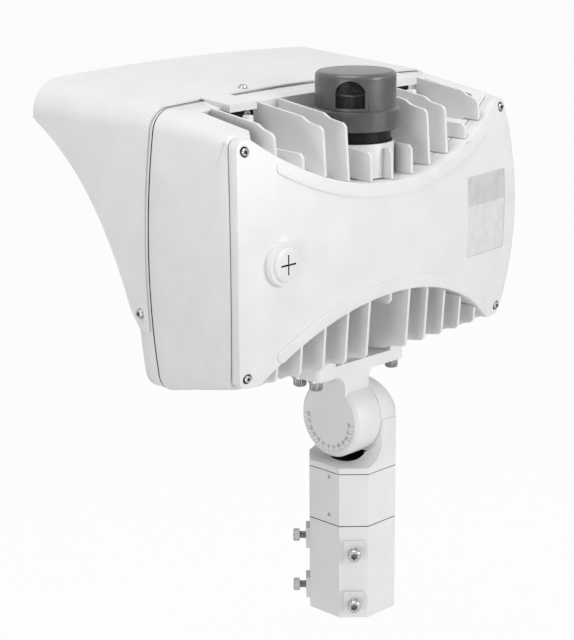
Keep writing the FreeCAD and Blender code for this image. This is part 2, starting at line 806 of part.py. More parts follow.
def bracket_fasteners():
    """Socket-head bolts that hold the plate to the housing, each with a washer."""
    seat = f"{PLATE_LOW} - bracket_washer_thickness"
    length = "(bracket_washer_thickness + plate_thickness + bracket_bolt_grip)"
    head = "bracket_bolt_head_radius"
    tall = "bracket_bolt_head_height"
    profile = [("0", f"-{length}"), ("bracket_bolt_radius", f"-{length}"), ("bracket_bolt_radius", "0"),
               (head, "0"), (head, tall), (f"{head} / 2", tall), (f"{head} / 2", f"{tall} / 2"),
               ("0", f"{tall} / 2")]
    bolts = []
    washers = []
    for name, x, y in bracket_bolt_places():
        bolts.append(turned(f"bracket_bolt_{name}", profile, (x, y, seat), -AXIS_Z))
        washers.append(washer(f"bracket_washer_{name}", "bracket_bolt_radius + bolt_clearance",
                              "bracket_washer_radius", "bracket_washer_thickness",
                              (x, y, PLATE_LOW), -AXIS_Z))
    node(group("bracket_bolt_set", bolts), "bracket_bolts")
    node(group("bracket_washer_set", washers), "bracket_washers")


def pivot_fasteners():
    seat = "-fitter_flat - pivot_washer_thickness"
    length = "fitter_flat + pivot_washer_thickness + pivot_bolt_depth"
    node(hex_bolt("pivot_bolt_body", "pivot_head_flats", "pivot_head_height", "pivot_bolt_radius", length,
                  (seat, "0", PIVOT_Z), -AXIS_X), "pivot_bolt")
    node(washer("pivot_washer_body", "pivot_bolt_radius + bolt_clearance", "pivot_washer_radius",
                "pivot_washer_thickness", ("-fitter_flat", "0", PIVOT_Z), -AXIS_X), "pivot_washer")


# Head envelope

def bow_outline(name, at, wide, tall, side_bow, top_bow):
    """A rectangle with bowed sides in the XZ plane, from the half-sizes of its corners."""
    side_radius = f"(({tall} ^ 2 + {side_bow} ^ 2) / (2 * {side_bow}))"
    top_radius = f"(({wide} ^ 2 + {top_bow} ^ 2) / (2 * {top_bow}))"
    corners = [(wide, f"-{tall}", side_radius), (wide, tall, top_radius),
               (f"-{wide}", tall, side_radius), (f"-{wide}", f"-{tall}", top_radius)]
    return outline(name, "XZ", at, corners)


def bowed(name, y, size, shift, inset="0"):
    """The head's outline across, at the front flange or at the rear cover."""
    return bow_outline(name, ("head_offset", y, f"{HEAD_Z} + ({shift})"),
                       f"({size}_half_width - {size}_side_bow - ({inset}))",
                       f"({size}_half_height - {size}_top_bow - ({inset}))",
                       f"{size}_side_bow", f"{size}_top_bow")


def rounded(name, solid, front_radius, back_radius, above=None):
    """Round the edges that run from front to back, with a radius at each end."""
    doc.recompute()
    middle = solid.Shape.BoundBox.Center.y
    depth = solid.Shape.BoundBox.YLength
    edges = []
    for number, edge in enumerate(solid.Shape.Edges, start=1):
        first = edge.valueAt(edge.FirstParameter)
        last = edge.valueAt(edge.LastParameter)
        if abs(first.y - last.y) < depth / 2:
            continue
        if above is not None and min(first.z, last.z) < value(above):
            continue
        radii = (front_radius, back_radius) if first.y < middle else (back_radius, front_radius)
        edges.append((number, value(radii[0]), value(radii[1])))
    fillet = doc.addObject("Part::Fillet", name)
    fillet.Base = solid
    fillet.Edges = edges
    return fillet


def envelope(name, inset="0"):
    """The tapering block that the housing is cast within."""
    block = doc.addObject("Part::Loft", f"{name}_loft")
    block.Sections = [bowed(f"{name}_front", "-flange_front", "front", "0", inset),
                      bowed(f"{name}_back", HULL_BACK, "rear", "cover_shift", inset)]
    block.Solid = True
    block.Ruled = True
    return rounded(name, block, f"front_corner - ({inset})", f"rear_corner - ({inset})")


def side_width(y, z):
    """The half-width of the envelope at a depth and at a height from the cover's middle."""
    along = f"((({y}) + flange_front) / (flange_front + {HULL_BACK}))"
    tall = (f"((front_half_height - front_top_bow) * (1 - {along})"
            f" + (rear_half_height - rear_top_bow) * {along})")
    level = f"((({z}) + cover_shift * (1 - {along})) / {tall})"
    return (f"((front_half_width - front_side_bow * {level} ^ 2) * (1 - {along})"
            f" + (rear_half_width - rear_side_bow * {level} ^ 2) * {along})")


def waists(name, grow="0", start="-base_back"):
    """The two rods that pinch the box into an hourglass."""
    length = f"cover_face + slab_margin - ({start})"
    top = cylinder(f"{name}_top", f"waist_top_radius + ({grow})", length,
                   ("head_offset", start, f"{COVER_Z} + waist_top + waist_top_radius"), AXIS_Y)
    low = cylinder(f"{name}_low", f"waist_low_radius + ({grow})", length,
                   ("head_offset", start, f"{COVER_Z} - waist_low - waist_low_radius"), AXIS_Y)
    return [top, low]


def seam_rod(name, back):
    """A broad rod along X whose back gives the curved joint of housing and cover."""
    reach = "(crown_reach * front_half_width)"
    return cylinder(name, "crown_tall", f"2 * {reach}",
                    (f"head_offset - {reach}", f"({back}) - crown_tall", COVER_Z), AXIS_X)


def slab(name, front, back):
    """A block right across the head between two depths."""
    across = "front_half_width + slab_margin"
    up = "front_half_height + slab_margin"
    return box(name, (beside(-1, across), beside(1, across)), (front, back),
               (f"{HEAD_Z} - ({up})", f"{HEAD_Z} + {up}"))


# Housing

TALL_FINS = (-5, -3, -2, 2, 3, 5)
SHORT_FINS = (-4, 4)
MIDDLE_FINS = (-1, 0, 1)
LOWER_FINS = (-5, -4, -3, -2, -1, 1, 2, 3, 4, 5)
FIN_START = "(-base_back - overlap)"


def fin_plate(name, number, corners):
    """One fin, thin across the head, from its outline in depth and height."""
    spot = f"head_offset + {number} * fin_pitch - fin_thickness / 2"
    sketch = outline(f"{name}_outline", "YZ", (spot, "0", COVER_Z), corners)
    return extrude(name, sketch, AXIS_X, "fin_thickness")


def fin_back(number):
    """The depth of a fin's rear edge, which follows the cover's crown."""
    return f"(fin_reach - ({number} * fin_pitch) ^ 2 / (2 * crown_wide))"


def tall_outline(number, sign, root):
    """A full fin: high in front, a step half-way and a cut corner at the rear."""
    back = fin_back(number)
    return [(FIN_START, f"{sign} * {root}"), (FIN_START, f"{sign} * fin_front_top"),
            ("-fin_front_y", f"{sign} * fin_front_top"), ("fin_step_y", f"{sign} * fin_step_top"),
            ("fin_step_end_y", f"{sign} * fin_step_low"),
            (f"{back} - fin_slant - fin_corner", f"{sign} * fin_rear_top"),
            (f"{back} - fin_slant", f"{sign} * (fin_rear_top - fin_corner)"),
            (back, f"{sign} * {root}")]


def short_outline(number, sign, top, front, root):
    """A low fin, nearly level along its edge."""
    back = fin_back(number)
    return [(front, f"{sign} * {root}"), (front, f"{sign} * {top}"),
            (f"{back} - fin_corner - short_fin_drop", f"{sign} * ({top} - short_fin_drop)"),
            (f"{back} - short_fin_drop", f"{sign} * ({top} - short_fin_drop - fin_corner)"),
            (back, f"{sign} * {root}")]


def fins():
    """Fins above and below the waist and the photocell's cup, trimmed clear of the rear cover."""
    top_root = "waist_top / 2"
    low_root = "waist_low / 2"
    outlines = {}
    for number in TALL_FINS:
        outlines[f"fin_top_{number + 5}"] = (number, tall_outline(number, 1, top_root))
    for number in SHORT_FINS:
        outlines[f"fin_top_{number + 5}"] = (
            number, short_outline(number, 1, "short_fin_top", "-post_y", top_root))
    for number in MIDDLE_FINS:
        outlines[f"fin_top_{number + 5}"] = (
            number, short_outline(number, 1, "middle_fin_top", "cell_y", top_root))
    for number in LOWER_FINS:
        outlines[f"fin_low_{number + 5}"] = (number, tall_outline(number, -1, low_root))
    outlines["fin_low_middle"] = (0, short_outline(0, -1, "middle_fin_low", FIN_START, low_root))
    plates = [fin_plate(name, number, corners) for name, (number, corners) in outlines.items()]
    cup = cylinder("cup_boss", "cup_radius", f"cup_top - {top_root}",
                   ("head_offset", "cell_y", f"{COVER_Z} + {top_root}"))
    stack = fuse("fin_stack", plates + [cup])
    start = f"{FIN_START} - overlap"
    rooted = common("fin_rooted", [fuse("fin_root_rods", waists("fin_root", "box_wall / 2", start)),
                                   slab("fin_root_slab", start, "fin_root_end")])
    reach = fuse("fin_space", [rooted] + waists("fin_free", "-fin_gap", start))
    return common("fin_set", [stack, reach])


def side_features(hull):
    """Posts, tabs, bracket pads and end blocks, one of each on either side."""
    solids = []
    for name, side in SIDES.items():
        solids.append(cylinder(f"post_{name}", "post_radius", "fin_front_top - waist_top - post_drop",
                               (beside(side, "4 * fin_pitch"), "-post_y", f"{COVER_Z} + waist_top")))
        solids.append(deck_tab(name, side))
        solids.append(box(f"bracket_pad_{name}", span(side, "pad_inner", "plate_half_length + pad_margin"),
                          (FIN_START, "plate_half_width + pad_margin"),
                          (PLATE_TOP, f"{PLATE_TOP} + pad_height")))
        solids.append(end_block(name, side, hull))
    return solids


def end_block(name, side, hull):
    """The full-height end of the housing, outside the pinched middle."""
    top = "front_half_height"
    toe = "end_block_back + end_block_toe"
    corners = [(FIN_START, "waist_top"), (toe, "waist_top"), (toe, "end_block_low"),
               ("end_block_back", top), (FIN_START, top)]
    start = span(side, "end_block_x", "front_half_width")[0]
    sketch = outline(f"end_block_outline_{name}", "YZ", (start, "0", COVER_Z), corners)
    block = extrude(f"end_block_form_{name}", sketch, AXIS_X, "front_half_width - end_block_x")
    return common(f"end_block_{name}", [block, hull])


def deck_tab(name, side):
    """A raised tab on the deck that bridges the joint in front of it."""
    front = "-flange_front - tab_reach"
    start = span(side, "tab_inner", "tab_outer")[0]
    front_top = "front_half_height + tab_front_rise"
    back_top = "front_half_height + tab_back_rise"
    corners = [(front, f"{front_top} - tab_thickness"), (front, front_top), ("-tab_back", back_top),
               ("-tab_back", f"{back_top} - tab_back_depth"),
               ("-flange_front + overlap", f"{front_top} - tab_front_depth"),
               ("-flange_front + overlap", f"{front_top} - tab_thickness")]
    sketch = outline(f"deck_tab_outline_{name}", "YZ", (start, "0", HEAD_Z), corners)
    return extrude(f"deck_tab_{name}", sketch, AXIS_X, "tab_outer - tab_inner")


CREASE_STEPS = 4


def crease_depth_at(z):
    """The crease's depth in Y at a height, on a parabola through its three named points."""
    points = [("crease_top_y", "crease_top"), ("crease_middle_y", "crease_middle"),
              ("-crease_low_y", "-crease_low")]
    terms = []
    for index, (y, height) in enumerate(points):
        others = [spot[1] for number, spot in enumerate(points) if number != index]
        weight = " * ".join(f"(({z}) - ({other})) / (({height}) - ({other}))" for other in others)
        terms.append(f"({y}) * {weight}")
    return f"({' + '.join(terms)})"


def side_crease(name, side):
    """A shallow groove down one side, leaning forward at the top and backward at the foot."""
    sections = []
    for step in range(CREASE_STEPS + 1):
        share = step / CREASE_STEPS
        z = f"(crease_top - {share} * (crease_top + crease_low))"
        lean = f"(crease_top_lean + {share} * (crease_low_lean - crease_top_lean))"
        rear_y = crease_depth_at(z)
        front_y = f"({rear_y} - crease_width)"
        rear_x = side_width(rear_y, z)
        front_x = side_width(front_y, z)
        deep_x = f"(({rear_x} + {front_x}) / 2 - crease_depth)"
        deep_y = f"({rear_y} - crease_width * {lean})"
        corners = [(f"{side} * {deep_x}", deep_y),
                   (f"{side} * (2 * {front_x} - {deep_x})", f"2 * {front_y} - {deep_y}"),
                   (f"{side} * (2 * {rear_x} - {deep_x})", f"2 * {rear_y} - {deep_y}")]
        sections.append(outline(f"crease_{name}_{step}", "XY", ("head_offset", "0", f"{COVER_Z} + {z}"),
                                corners))
    groove = doc.addObject("Part::Loft", f"crease_{name}")
    groove.Sections = sections
    groove.Solid = True
    return groove


def housing_hollows():
    """What is taken out of the cast block: the compartment, the LED recess and room for neighbours."""
    cavity = common("cavity_block", [envelope("cavity_hull", "box_wall"),
                                     slab("cavity_slab", "-base_back", "cover_face")])
    room_wide = "plate_half_length + plate_corner"
    recess = bowed("led_recess_outline", "-flange_front - overlap", "front", "0", "recess_inset")
    hollows = [
        cut("cavity_pinched", cavity, waists("cavity_waist", "box_wall", FIN_START)),
        extrude("led_recess", recess, AXIS_Y, "flange_front - base_front + overlap"),
        cylinder("cup_well", "cup_radius - cup_wall", "cup_top",
                 ("head_offset", "cell_y", f"{COVER_Z} + cup_floor")),
        cylinder("cup_wire_hole", "wire_radius", "cup_top", ("head_offset", "cell_y", COVER_Z)),
        cylinder("cell_room", "cell_skirt_radius + cell_clearance", "cell_height",
                 ("head_offset", "cell_y", f"{CUP_TOP_Z} + receptacle_rise / 2")),
        box("plate_room", (beside(-1, room_wide), beside(1, room_wide)),
            ("-plate_half_width - pad_margin", "fin_reach"), (f"{PLATE_TOP} - plate_thickness", PLATE_TOP))]
    return hollows + [side_crease(name, side) for name, side in SIDES.items()]


def housing_holes():
    """Screw holes in the housing."""
    holes = []
    for name, x, z in cover_screw_places():
        holes.append(cylinder(f"cover_post_hole_{name}", "cover_screw_radius + thread_clearance",
                              "cover_screw_length",
                              (x, f"{SCREW_FACE} - cover_screw_sink - cover_screw_length", z), AXIS_Y))
    for name, x, z in frame_screw_places():
        holes.append(cylinder(f"frame_screw_way_{name}", "frame_screw_radius + bolt_clearance",
                              "flange_front", (x, "-flange_front - overlap", z), AXIS_Y))
    for name, x, y in bracket_bolt_places():
        holes.append(cylinder(f"pad_hole_{name}", "bracket_bolt_radius + thread_clearance",
                              "bracket_bolt_grip + 2 * overlap", (x, y, f"{PLATE_TOP} - overlap")))
    for name, x, z in inner_screw_places():
        holes.append(cylinder(f"inner_hole_{name}", "inner_screw_radius + thread_clearance",
                              "inner_screw_length",
                              (x, "-base_back - inner_screw_length + driver_ear_thickness", z), AXIS_Y))
    for name, x, z in board_screw_places():
        holes.append(cylinder(f"board_hole_{name}", "board_screw_radius + thread_clearance",
                              "board_screw_grip + 2 * overlap", (x, "-base_front - overlap", z), AXIS_Y))
    return holes


def housing():
    """The casting: base plate, hourglass box, fins and their small features, then its hollows."""
    hull = envelope("hull")
    plate = common("base_plate", [hull, slab("base_slab", "-flange_front - overlap", "-base_back")])
    pinched = cut("box_pinched", hull, waists("box_waist"))
    solid_box = common("box_solid", [pinched, seam_rod("box_seam", "cover_seam")])
    rough = fuse("housing_rough", [plate, solid_box, fins()] + side_features(hull))
    shell = cut("housing_shell", rough, housing_hollows())
    posts = [common(f"cover_post_{name}", [
        cylinder(f"cover_post_rod_{name}", "boss_radius", f"base_back + {HULL_BACK}",
                 (x, FIN_START, z), AXIS_Y),
        seam_rod(f"cover_post_seam_{name}", "cover_seam"), hull]) for name, x, z in cover_screw_places()]
    node(cut("housing_cut", fuse("housing_posts", [shell] + posts), housing_holes()), "heat_sink_housing")


# Rear cover

def corners_of(x, z, height):
    """Four places that mirror each other across the head and about a height."""
    for side_name, side in SIDES.items():
        for level_name, level in (("top", 1), ("low", -1)):
            yield f"{side_name}_{level_name}", beside(side, x), f"{height} + {level} * ({z})"


def cover_screw_places():
    return corners_of("cover_screw_x", "cover_screw_z", COVER_Z)


def crowned(name, back):
    """A barrel whose back is crowned both ways, for the cover's face."""
    reach = "(crown_reach * front_half_width)"
    edge = f"(({back}) - (crown_wide - sqrt(crown_wide ^ 2 - {reach} ^ 2)))"
    axis = f"(({back}) - crown_tall)"
    corners = [(f"-{reach}", axis), (reach, axis), (reach, edge, "crown_wide"), (f"-{reach}", edge)]
    barrel = doc.addObject("Part::Revolution", name)
    barrel.Source = outline(f"{name}_profile", "XY", ("head_offset", "0", COVER_Z), corners)
    barrel.Axis = AXIS_X
    barrel.Symmetric = True
    barrel.Solid = True
    bind(barrel, Angle="crown_sweep")
    barrel.setExpression("Base.y", bound(axis))
    barrel.setExpression("Base.z", bound(COVER_Z))
    return barrel


def cover_block(name, inset, face):
    """The cover's outline pulled back to a crowned face."""
    start = "(cover_seam - cover_root)"
    sketch = bowed(f"{name}_outline", start, "rear", "cover_shift", inset)
    prism = extrude(f"{name}_prism", sketch, AXIS_Y, f"cover_face + slab_margin - {start}")
    corner = rounded(f"{name}_round", prism, f"rear_corner - ({inset})", f"rear_corner - ({inset})")
    pinched = cut(f"{name}_pinched", corner, waists(f"{name}_waist", inset, f"{start} - overlap"))
    return common(name, [pinched, crowned(f"{name}_barrel", face)])


def edge_band(name, level, waist):
    """A strip along one pinched edge of the cover, with round ends."""
    near = f"({waist}_radius - overlap)"
    far = f"({waist}_radius + cover_band)"
    share = f"(cover_band_end / ({waist}_radius + cover_band / 2))"
    centre = f"({waist} + {waist}_radius)"
    cap = f"({level}) * cover_band_round * (cover_band + overlap)"

    def edge(side, radius):
        return f"({side}) * {radius} * {share}", f"({level}) * ({centre} - {radius} * sqrt(1 - {share} ^ 2))"

    corners = [(*edge(-1, far), f"({level}) * {far}"), (*edge(1, far), cap),
               (*edge(1, near), f"-({level}) * {near}"), (*edge(-1, near), cap)]
    return extrude(name, outline(f"{name}_outline", "XZ", ("head_offset", "cover_seam", COVER_Z), corners),
                   AXIS_Y, "through")


def rear_cover():
    """A crowned shell with raised bands, screw bosses and a boss for the closure plug."""
    block = cover_block("cover_block", "0", "cover_face")
    raised = cover_block("cover_raised", "0", "cover_face + cover_band_rise")
    strips = fuse("cover_band_strips", [edge_band("cover_band_top", 1, "waist_top"),
                                        edge_band("cover_band_low", -1, "waist_low")])
    band = common("cover_band_solid", [raised, strips])
    plug_x = beside(1, "plug_x")
    plug_boss = cylinder("plug_boss", "plug_boss_radius", "plug_thread_length + overlap",
                         (plug_x, f"{PLUG_SEAT} - plug_thread_length - overlap", COVER_Z), AXIS_Y)
    bosses = [cylinder(f"cover_boss_{name}", "boss_radius", "through",
                       (x, "cover_seam - through / 2", z), AXIS_Y)
              for name, x, z in cover_screw_places()]
    hollow = cover_block("cover_hollow", "cover_wall", "cover_face - cover_wall")
    space = cut("cover_space", hollow, bosses + [plug_boss])
    shell = cut("cover_shell", fuse("cover_form", [block, band, plug_boss]), [space])
    holes = [seam_rod("cover_seam_rod", SEAM_BACK),
             cylinder("plug_hole", "plug_thread_radius + thread_clearance", "through",
                      (plug_x, "cover_seam", COVER_Z), AXIS_Y),
             cylinder("plug_seal_seat", "plug_thread_radius + plug_seal_width + plug_seal_fit", "through",
                      (plug_x, f"{PLUG_SEAT} - plug_seal_depth", COVER_Z), AXIS_Y)]
    for name, x, z in cover_screw_places():
        holes.append(cylinder(f"cover_hole_{name}", "cover_screw_radius + bolt_clearance", "through",
                              (x, "cover_seam - through / 2", z), AXIS_Y))
        holes.append(cylinder(f"cover_sink_{name}", "cover_screw_head_radius + bolt_clearance", "through",
                              (x, f"{SCREW_FACE} - cover_screw_sink", z), AXIS_Y))
    node(cut("cover_cut", shell, holes), "rear_cover")


def cover_gasket():
    outer = cover_block("gasket_outer", "gasket_inset", "cover_face")
    inner = cover_block("gasket_inner", "gasket_inset + gasket_width", "cover_face + overlap")
    layer = common("gasket_layer", [outer, seam_rod("gasket_back", f"{SEAM_BACK} - gasket_fit")])
    ring = cut("gasket_ring", layer, [inner, seam_rod("gasket_front", "cover_seam + gasket_fit")])
    node(ring, "rear_cover_gasket")


def cover_screws():
    screws = [screw(f"cover_screw_{name}", "cover_screw_head_radius", "cover_screw_head_height",
                    "cover_screw_radius", "cover_screw_length - overlap",
                    (x, f"{SCREW_FACE} - cover_screw_sink", z), AXIS_Y)
              for name, x, z in cover_screw_places()]
    node(group("cover_screw_set", screws), "rear_cover_screws")


def closure_plug():
    """A threaded plug with a crossed slot, on a ring seal in the cover's boss."""
    x = beside(1, "plug_x")
    top = "plug_head_height"
    profile = [("0", "-plug_thread_length"), ("plug_thread_radius", "-plug_thread_length"),
               ("plug_thread_radius", "0"), ("plug_head_radius", "0"),
               ("plug_head_radius", f"{top} - plug_chamfer"), ("plug_head_radius - plug_chamfer", top),
               ("0", top)]
    blank = turned("plug_blank", profile, (x, PLUG_SEAT, COVER_Z), AXIS_Y)
    deep = (f"{PLUG_SEAT} + {top} - plug_slot_depth", f"{PLUG_SEAT} + {top} + overlap")
    long_half = "plug_slot_length / 2"
    thin_half = "plug_slot_width / 2"
    slots = [box("plug_slot_across", (f"{x} - {long_half}", f"{x} + {long_half}"), deep,
                 (f"{COVER_Z} - {thin_half}", f"{COVER_Z} + {thin_half}")),
             box("plug_slot_up", (f"{x} - {thin_half}", f"{x} + {thin_half}"), deep,
                 (f"{COVER_Z} - {long_half}", f"{COVER_Z} + {long_half}"))]
    node(cut("plug_cut", blank, slots), "closure_plug")
    seal = washer("plug_seal_ring", "plug_thread_radius + plug_seal_fit",
                  "plug_thread_radius + plug_seal_width", "plug_seal_depth - plug_seal_fit",
                  (x, f"{PLUG_SEAT} - plug_seal_depth", COVER_Z), AXIS_Y)
    node(seal, "plug_seal")


# Front frame and glass

def frame_prism(name, front, depth, inset, radius):
    """A block with the frame's outline, bowed as the flange behind it and drawn in by an inset."""
    sketch = bow_outline(f"{name}_outline", ("head_offset", f"-({front})", HEAD_Z),
                         f"({FRAME_WIDE} - front_side_bow - ({inset}))",
                         f"({FRAME_TALL} - front_top_bow - ({inset}))", "front_side_bow", "front_top_bow")
    return rounded(name, extrude(f"{name}_block", sketch, AXIS_Y, depth), radius, radius)


def front_frame():
    """The frame with its lip, screw bosses behind the lip and holes for the visor's screws."""
    lip_back = f"({FRAME_FRONT} - frame_lip_thickness)"
    block = frame_prism("frame_block", FRAME_FRONT, "frame_depth", "0", FRAME_CORNER)
    pocket = frame_prism("frame_pocket", lip_back, "frame_depth", "frame_wall",
                         f"{FRAME_CORNER} - frame_wall")
    window = frame_prism("frame_window", f"{FRAME_FRONT} + overlap", "frame_depth", "frame_lip",
                         "glass_corner")
    ring = cut("frame_ring", block, [pocket, window])
    bosses = []
    holes = []
    for name, x, z in frame_screw_places():
        bosses.append(cylinder(f"frame_boss_{name}", "frame_boss_radius",
                               f"{lip_back} + overlap - {FRAME_BACK}",
                               (x, f"-{lip_back} - overlap", z), AXIS_Y))
        holes.append(cylinder(f"frame_hole_{name}", "frame_screw_radius + thread_clearance",
                              f"{lip_back} - {FRAME_BACK}", (x, f"-{lip_back} + overlap", z), AXIS_Y))
    for name, side, x, z in lens_clip_places():
        bosses.append(cylinder(f"clip_boss_{name}", "frame_boss_radius",
                               f"{lip_back} + overlap - {GLASS_BACK}",
                               (x, f"-{lip_back} - overlap", z), AXIS_Y))
        clip_face = f"-{GLASS_BACK} + lens_clip_thickness"
        holes.append(cylinder(f"clip_hole_{name}", "lens_clip_screw_radius + thread_clearance",
                              "lens_clip_screw_length",
                              (x, f"{clip_face} - lens_clip_screw_length", z), AXIS_Y))
    for name, at, along in visor_screw_places():
        holes.append(cylinder(f"frame_side_hole_{name}", "visor_screw_radius + thread_clearance",
                              "visor_screw_length + frame_wall", at, -along))
    inside = common("frame_bosses", [block, group("frame_boss_set", bosses)])
    node(cut("frame_cut", fuse("frame_solid", [ring, inside]), holes), "front_frame")


def lens_clip_places():
    """The clips' bosses, close to the frame's side walls."""
    curve = f"front_side_bow * (lens_clip_z / {FRAME_TALL}) ^ 2"
    reach = f"{FRAME_WIDE} - frame_wall - frame_screw_margin - {curve}"
    for side_name, side in SIDES.items():
        for level_name, level in (("top", 1), ("low", -1)):
            yield f"{side_name}_{level_name}", side, beside(side, reach), f"{HEAD_Z} + {level} * lens_clip_z"


def lens_clips():
    """Spring plates that press the glass to the lip, each held by one screw."""
    clips = []
    screws = []
    for name, side, x, z in lens_clip_places():
        outer = f"{x} + ({side}) * frame_boss_radius / 2"
        inner = f"{x} - ({side}) * (lens_clip_length - frame_boss_radius / 2)"
        plate = box(f"lens_clip_plate_{name}", (inner, outer) if side > 0 else (outer, inner),
                    (f"-{GLASS_BACK}", f"-{GLASS_BACK} + lens_clip_thickness"),
                    (f"{z} - lens_clip_width / 2", f"{z} + lens_clip_width / 2"))
        way = cylinder(f"lens_clip_way_{name}", "lens_clip_screw_radius + bolt_clearance", "through",
                       (x, f"-{GLASS_BACK} - overlap", z), AXIS_Y)
        clips.append(cut(f"lens_clip_{name}", plate, [way]))
        screws.append(screw(f"lens_clip_screw_{name}", "lens_clip_screw_head_radius",
                            "lens_clip_screw_head_height", "lens_clip_screw_radius",
                            "lens_clip_screw_length - overlap",
                            (x, f"-{GLASS_BACK} + lens_clip_thickness", z), AXIS_Y))
    node(group("lens_clip_set", clips), "lens_clips")
    node(group("lens_clip_screw_set", screws), "lens_clip_screws")


def frame_screw_places():
    """Between the outer fins, just inside the frame's upper and lower walls."""
    return corners_of("frame_screw_fin * fin_pitch",
                      f"{FRAME_TALL} - front_top_bow - frame_wall - frame_screw_margin", HEAD_Z)


def frame_screws():
    screws = [screw(f"frame_screw_{name}", "frame_screw_head_radius", "frame_screw_head_height",
                    "frame_screw_radius", f"{FRAME_FRONT} - frame_lip_thickness - base_back - 2 * overlap",
                    (x, "-base_back", z), AXIS_Y)
              for name, x, z in frame_screw_places()]
    node(group("frame_screw_set", screws), "frame_screws")


def glazing():
    """The glass, its gasket in the frame, and the gasket between frame and housing."""
    glass = frame_prism("glass_block", GLASS_FRONT, "glass_thickness", "glass_inset", "glass_corner")
    node(glass, "glass_lens")
    ring = frame_prism("lens_gasket_block", f"{GLASS_FRONT} + lens_gasket", "lens_gasket", "glass_inset",
                       "glass_corner")
    hole = frame_prism("lens_gasket_hole", f"{GLASS_FRONT} + lens_gasket + overlap",
                       "lens_gasket + 2 * overlap", "frame_lip", "glass_corner")
    node(cut("lens_gasket_ring", ring, [hole]), "lens_gasket")
    seal = frame_prism("frame_gasket_block", FRAME_BACK, "frame_gasket", "frame_gasket_inset",
                       f"{FRAME_CORNER} - frame_gasket_inset")
    gap = frame_prism("frame_gasket_hole", f"{FRAME_BACK} + overlap", "frame_gasket + 2 * overlap",
                      "frame_wall", f"{FRAME_CORNER} - frame_wall")
    node(cut("frame_gasket_ring", seal, [gap]), "frame_gasket")


# Visor

VISOR_SCREWS = {"left": (1, 0), "right": (-1, 0), "top_left": (1, 1), "top_right": (-1, 1)}


def visor_wide(end, level):
    """The hood's half-width at its front or back end, low down or at the top."""
    return f"(front_half_width - visor_{end}_{level}_in)"


def visor_top(end):
    """The height of the hood's upper corners at its front or back end."""
    return f"(front_half_height + visor_{end}_rise)"


def visor_section(name, y, end, inset):
    """The hood's cross-section at one end, closed along the bottom."""
    low_wide = f"({visor_wide(end, 'low')} - ({inset}))"
    top_wide = f"({visor_wide(end, 'top')} - ({inset}))"
    top = f"({visor_top(end)} - ({inset}))"
    bow = f"visor_{end}_bow"
    crown = f"visor_{end}_top_bow"
    chord = f"((({top} + visor_low) ^ 2 + ({low_wide} - {top_wide}) ^ 2) / 4)"
    side_radius = f"(({chord} + {bow} ^ 2) / (2 * {bow}))"
    top_radius = f"(({top_wide} ^ 2 + {crown} ^ 2) / (2 * {crown}))"
    corners = [(low_wide, "-visor_low", side_radius), (top_wide, top, top_radius),
               (f"-{top_wide}", top, side_radius), (f"-{low_wide}", "-visor_low")]
    return outline(name, "XZ", ("head_offset", y, HEAD_Z), corners)


def visor_block(name, inset):
    """The hood as a solid block, rounded along its two upper corners."""
    loft = doc.addObject("Part::Loft", f"{name}_loft")
    loft.Sections = [visor_section(f"{name}_front", "-visor_front", "front", inset),
                     visor_section(f"{name}_back", "-visor_back", "back", inset)]
    loft.Solid = True
    loft.Ruled = True
    return rounded(name, loft, f"visor_front_corner - ({inset})", f"visor_back_corner - ({inset})", HEAD_Z)


def visor():
    """A thin hood whose sides sweep up in a hollow curve from the frame to the front edge."""
    outer = visor_block("visor_outer", "0")
    inner = visor_block("visor_inner", "visor_wall")
    low = "-visor_low - overlap"
    front = "-visor_front - overlap"
    back = "-visor_back + overlap"
    sweep = [(front, low), (back, low), (back, "-visor_foot"), ("-visor_foot_y", "-visor_foot"),
             ("-visor_sweep_end_y", "-visor_sweep_end", "visor_sweep_radius"),
             ("-visor_sweep_start_y", "visor_sweep_start"), (front, "visor_front_edge")]
    across = "front_half_width + slab_margin"
    sketch = outline("visor_sweep_outline", "YZ", (beside(-1, across), "0", HEAD_Z), sweep)
    holes = [inner, extrude("visor_sweep", sketch, AXIS_X, f"2 * ({across})")]
    for name, at, along in visor_screw_places():
        holes.append(cylinder(f"visor_hole_{name}", "visor_screw_radius + bolt_clearance",
                              "visor_screw_length + frame_wall", at, -along))
    node(cut("visor_cut", outer, holes), "visor")


def visor_screw_places():
    """Each screw's seat on the hood and the way its head faces."""
    low_wide = visor_wide("back", "low")
    top_wide = visor_wide("back", "top")
    rise = f"((visor_low - visor_screw_side) / (visor_low + {visor_top('back')}))"
    side_x = (f"({low_wide} - ({low_wide} - {top_wide}) * {rise}"
              f" + 4 * visor_back_bow * {rise} * (1 - {rise}) + seat_gap)")
    along = "((visor_screw_y - visor_back) / (visor_front - visor_back))"
    climb = f"({visor_top('front')} + visor_front_top_bow - {visor_top('back')} - visor_back_top_bow)"
    top_z = (f"({visor_top('back')} + visor_back_top_bow * (1 - (visor_screw_top_x / {top_wide}) ^ 2)"
             f" + {along} * {climb} + seat_gap)")
    y = "-visor_screw_y"
    for name, (side, top) in VISOR_SCREWS.items():
        if top:
            yield name, (beside(side, "visor_screw_top_x"), y, f"{HEAD_Z} + {top_z}"), AXIS_Z
        else:
            yield name, (beside(side, side_x), y, f"{HEAD_Z} - visor_screw_side"), AXIS_X * side


def visor_screws():
    screws = [screw(f"visor_screw_{name}", "visor_screw_head_radius", "visor_screw_head_height",
                    "visor_screw_radius", "visor_screw_length", at, along)
              for name, at, along in visor_screw_places()]
    node(group("visor_screw_set", screws), "visor_screws")


# Light engine

LED_COLUMNS = (-1, 0, 1)
LED_ROWS = (-1.5, -0.5, 0.5, 1.5)
BOARD_FACE = "(-base_front - board_thickness)"
OPTIC_BACK = f"({BOARD_FACE} - led_height - optic_stand)"


def board_screw_places():
    return corners_of("board_x", "board_half_height - board_screw_inset", HEAD_Z)


